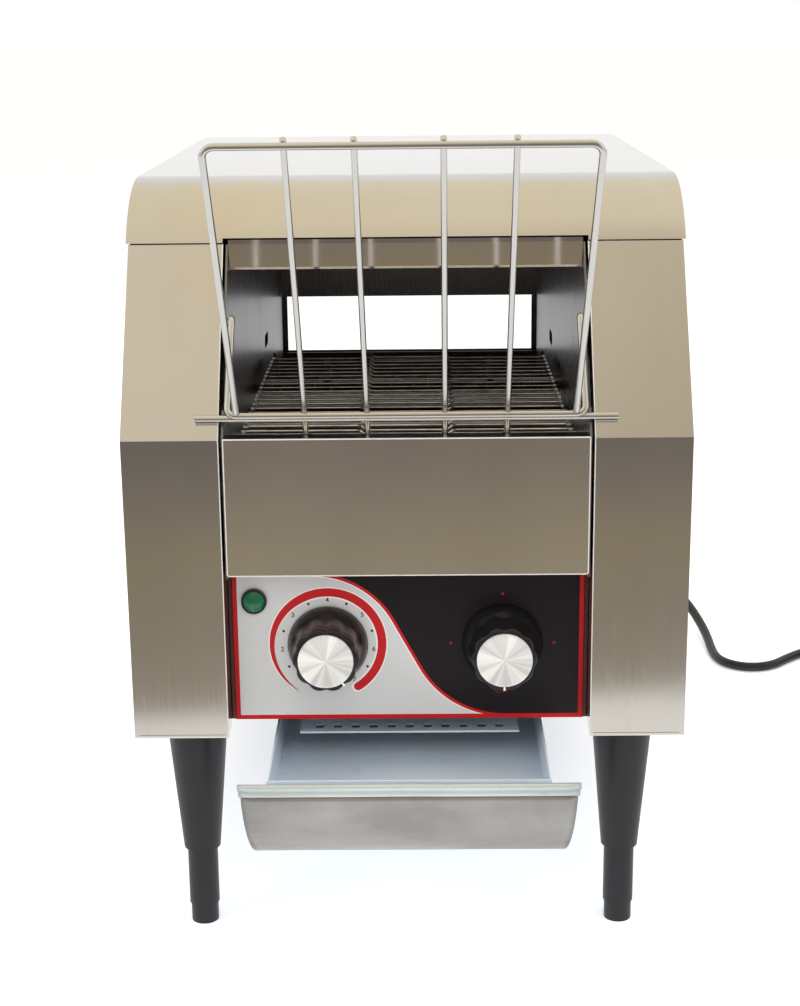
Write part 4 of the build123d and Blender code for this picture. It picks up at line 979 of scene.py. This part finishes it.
def make_panel_print():
    left, right = -PRINT_HALF, PRINT_HALF
    low, top = PANEL_LOW, PRINT_TOP
    print_flat("panel_field", [rectangle(left, low, right, top)], 1, "printed_panel")
    inner_left, inner_low, inner_top = left + BORDER, low + BORDER, top - BORDER
    edge = [(x, z) for x, z in swoosh() if inner_low <= z <= inner_top]
    field = [(inner_left, inner_low), (inner_left, inner_top), (edge[0][0] - 2 * MM, inner_top)]
    field += edge + [(edge[-1][0] + 2 * MM, inner_low)]
    print_flat("panel_silver", [field[::-1]], 2, "silver_film")
    border = [
        rectangle(left, low, right, inner_low),
        rectangle(left, inner_top, right, top),
        rectangle(left, inner_low, inner_left, inner_top),
        rectangle(right - BORDER, inner_low, right, inner_top),
    ]
    print_flat("panel_border", border, 3, "ink_red")

    def band(first, last):
        return first + last[::-1]

    def trimmed(shift):
        return [(x, min(max(z, inner_low), inner_top)) for x, z in swoosh(shift)]

    print_flat("panel_sweep", [band(trimmed(0.7 * MM), trimmed(-0.9 * MM))], 4, "ink_red")
    print_flat("panel_sweep_edge", [band(trimmed(1.3 * MM), trimmed(0.7 * MM))], 4, "ink_white")

    knob = middle("speed_knob")
    dial = (knob.x, knob.z)
    print_flat("dial_halo", [crescent(dial, 31.8 * MM, 6.0 * MM, 236, -58)], 3, "ink_white")
    print_flat("dial_sweep", [crescent(dial, 31.2 * MM, 4.6 * MM)], 4, "ink_red")
    dots = []
    for i in range(13):
        place = on_circle(dial, DIAL_RADIUS, DIAL_FIRST + DIAL_STEP * i)
        if i % 2:
            dots.append(disc(place, 0.72 * MM, 12))
        else:
            figure = str(7 - i // 2)
            print_text("dial_figure_" + figure, figure, place, 3.7 * MM, 3, "ink_grey")
    print_flat("dial_dots", dots, 3, "ink_black")

    knob = middle("selector_knob")
    dial = (knob.x, knob.z)
    marks = [disc(on_circle(dial, SELECTOR_RADIUS, angle), 0.9 * MM, 14) for angle in (0, 90, 180)]
    print_flat("selector_dots", marks, 2, "ink_dark_red")
    print_text("selector_off", "OFF", (knob.x, knob.z - 27.0 * MM), 4.6 * MM, 2, "ink_dark_red")


make_panel_print()


# ---- Floor, light and surroundings ----
WHITE_TABLE = 0.335  # the bright part of the floor reaches this far in front of the housings


def floor_material():
    """White floor. In reflections it turns into the darker room beyond its front edge."""
    m = Material("floor")
    m.feed("Base Color", colour(0.92, 0.92, 0.92))
    m.feed("Roughness", 0.9)
    m.feed("Specular IOR Level", 0.1)
    m.feed("Emission Color", colour(0.80, 0.87, 1.0))
    m.feed("Emission Strength", 0.42)
    spot = m.add("SeparateXYZ", {0: m.geometry("Position")}).outputs
    ahead = m.math("SUBTRACT", FRONT, m.math("MULTIPLY_ADD", spot["X"], 0.12, spot["Y"]))
    past = m.between(ahead, WHITE_TABLE, WHITE_TABLE + 0.03)
    wide = m.math("MULTIPLY_ADD", ahead, -0.7, m.math("ABSOLUTE", spot["X"]))
    room = m.math("MULTIPLY", past, m.math("SUBTRACT", 1.0, m.between(wide, 0.25, 0.9)))
    dim = m.tints(
        m.between(ahead, 0.34, 1.15),
        (0.0, (0.36, 0.32, 0.265)), (0.25, (0.30, 0.265, 0.215)), (0.52, (0.30, 0.255, 0.165)),
        (0.62, (0.27, 0.235, 0.185)), (1.0, (0.19, 0.165, 0.145)),
    )
    away = m.add("VectorMath", {0: m.geometry("Position")}, operation="LENGTH").outputs["Value"]
    white = m.mix(m.between(away, 0.65, 2.8), colour(0.92, 0.91, 0.90), colour(0.50, 0.505, 0.52))
    seen = m.add("Emission", {"Color": m.mix(room, white, dim), "Strength": 1.0})
    choose = m.add("MixShader", {0: m.add("LightPath").outputs["Is Glossy Ray"]})
    output = m.tree.nodes["Material Output"]
    m.tree.links.new(m.shader.outputs[0], choose.inputs[1])
    m.tree.links.new(seen.outputs[0], choose.inputs[2])
    m.tree.links.new(choose.outputs[0], output.inputs["Surface"])
    return m.material


def make_world():
    """The room that the metal reflects: white behind and beside the object, a warm ceiling, and dim
    warm walls in front of it. The camera itself sees plain white."""
    world = bpy.data.worlds.new("studio")
    bpy.context.scene.world = world
    world.use_nodes = True
    room = Nodes(world.node_tree)
    way = room.add("SeparateXYZ", {0: room.add("TexCoord").outputs["Generated"]}).outputs
    height = room.between(way["Z"], -0.2, 1.0)
    turned_back = room.math("MULTIPLY_ADD", room.math("ABSOLUTE", way["X"]), 0.8, way["Y"])
    behind = room.between(turned_back, 0.0, 0.35)
    white, ceiling = (1.0, 1.0, 1.0), (0.86, 0.76, 0.56)
    wall_foot = ((0.0, (0.20, 0.17, 0.14)), (0.2, (0.24, 0.205, 0.16)))
    left_wall = ((0.4, (0.50, 0.44, 0.34)), (0.79, (0.80, 0.71, 0.57)), (1.0, ceiling))
    right_wall = ((0.4, (0.34, 0.29, 0.22)), (0.79, (0.54, 0.46, 0.345)), (1.0, ceiling))
    left_room, right_room = (room.tints(height, *wall_foot, *wall) for wall in (left_wall, right_wall))
    front_room = room.mix(room.between(way["X"], -0.14, 0.14), left_room, right_room)
    back_room = room.tints(
        height, (0.0, white), (0.22, white), (0.32, (0.86, 0.86, 0.87)), (0.60, (0.84, 0.84, 0.83)),
        (0.68, (0.88, 0.80, 0.65)), (1.0, ceiling),
    )
    around = room.mix(behind, front_room, back_room)
    seen = room.mix(room.add("LightPath").outputs["Is Camera Ray"], around, colour(*white))
    background = room.tree.nodes["Background"].inputs
    room.put(background["Color"], seen)
    background["Strength"].default_value = 1.0


def make_stage():
    mesh = bpy.data.meshes.new("floor")
    size = 30.0
    mesh.from_pydata(
        [(-size, -size, 0), (size, -size, 0), (size, size, 0), (-size, size, 0)], [], [(0, 1, 2, 3)]
    )
    floor = bpy.data.objects.new("floor", mesh)
    bpy.context.scene.collection.objects.link(floor)
    mesh.materials.append(floor_material())
    make_world()

    def softbox(name, place, aim, width, height, power, tint=(1, 1, 1)):
        data = bpy.data.lights.new(name, "AREA")
        data.shape = "RECTANGLE"
        data.size, data.size_y = width, height
        data.energy = power
        data.color = tint
        lamp = bpy.data.objects.new(name, data)
        bpy.context.scene.collection.objects.link(lamp)
        lamp.visible_glossy = False
        lamp.location = place
        lamp.rotation_euler = (Vector(aim) - Vector(place)).to_track_quat("-Z", "Y").to_euler()

    softbox("top_box", (0.1, -0.1, 1.9), (0, 0, 0.2), 1.8, 1.8, 18)
    softbox("left_box", (-1.6, -1.1, 1.2), (0, 0, 0.2), 1.0, 1.4, 9)
    softbox("right_box", (1.7, -1.0, 1.1), (0, 0, 0.2), 1.0, 1.4, 7)
    softbox("front_box", (0.2, -1.5, 1.1), (0, 0, 0.1), 1.2, 0.8, 8, (0.93, 0.96, 1.0))
    bpy.context.scene.view_settings.view_transform = "Standard"


make_stage()
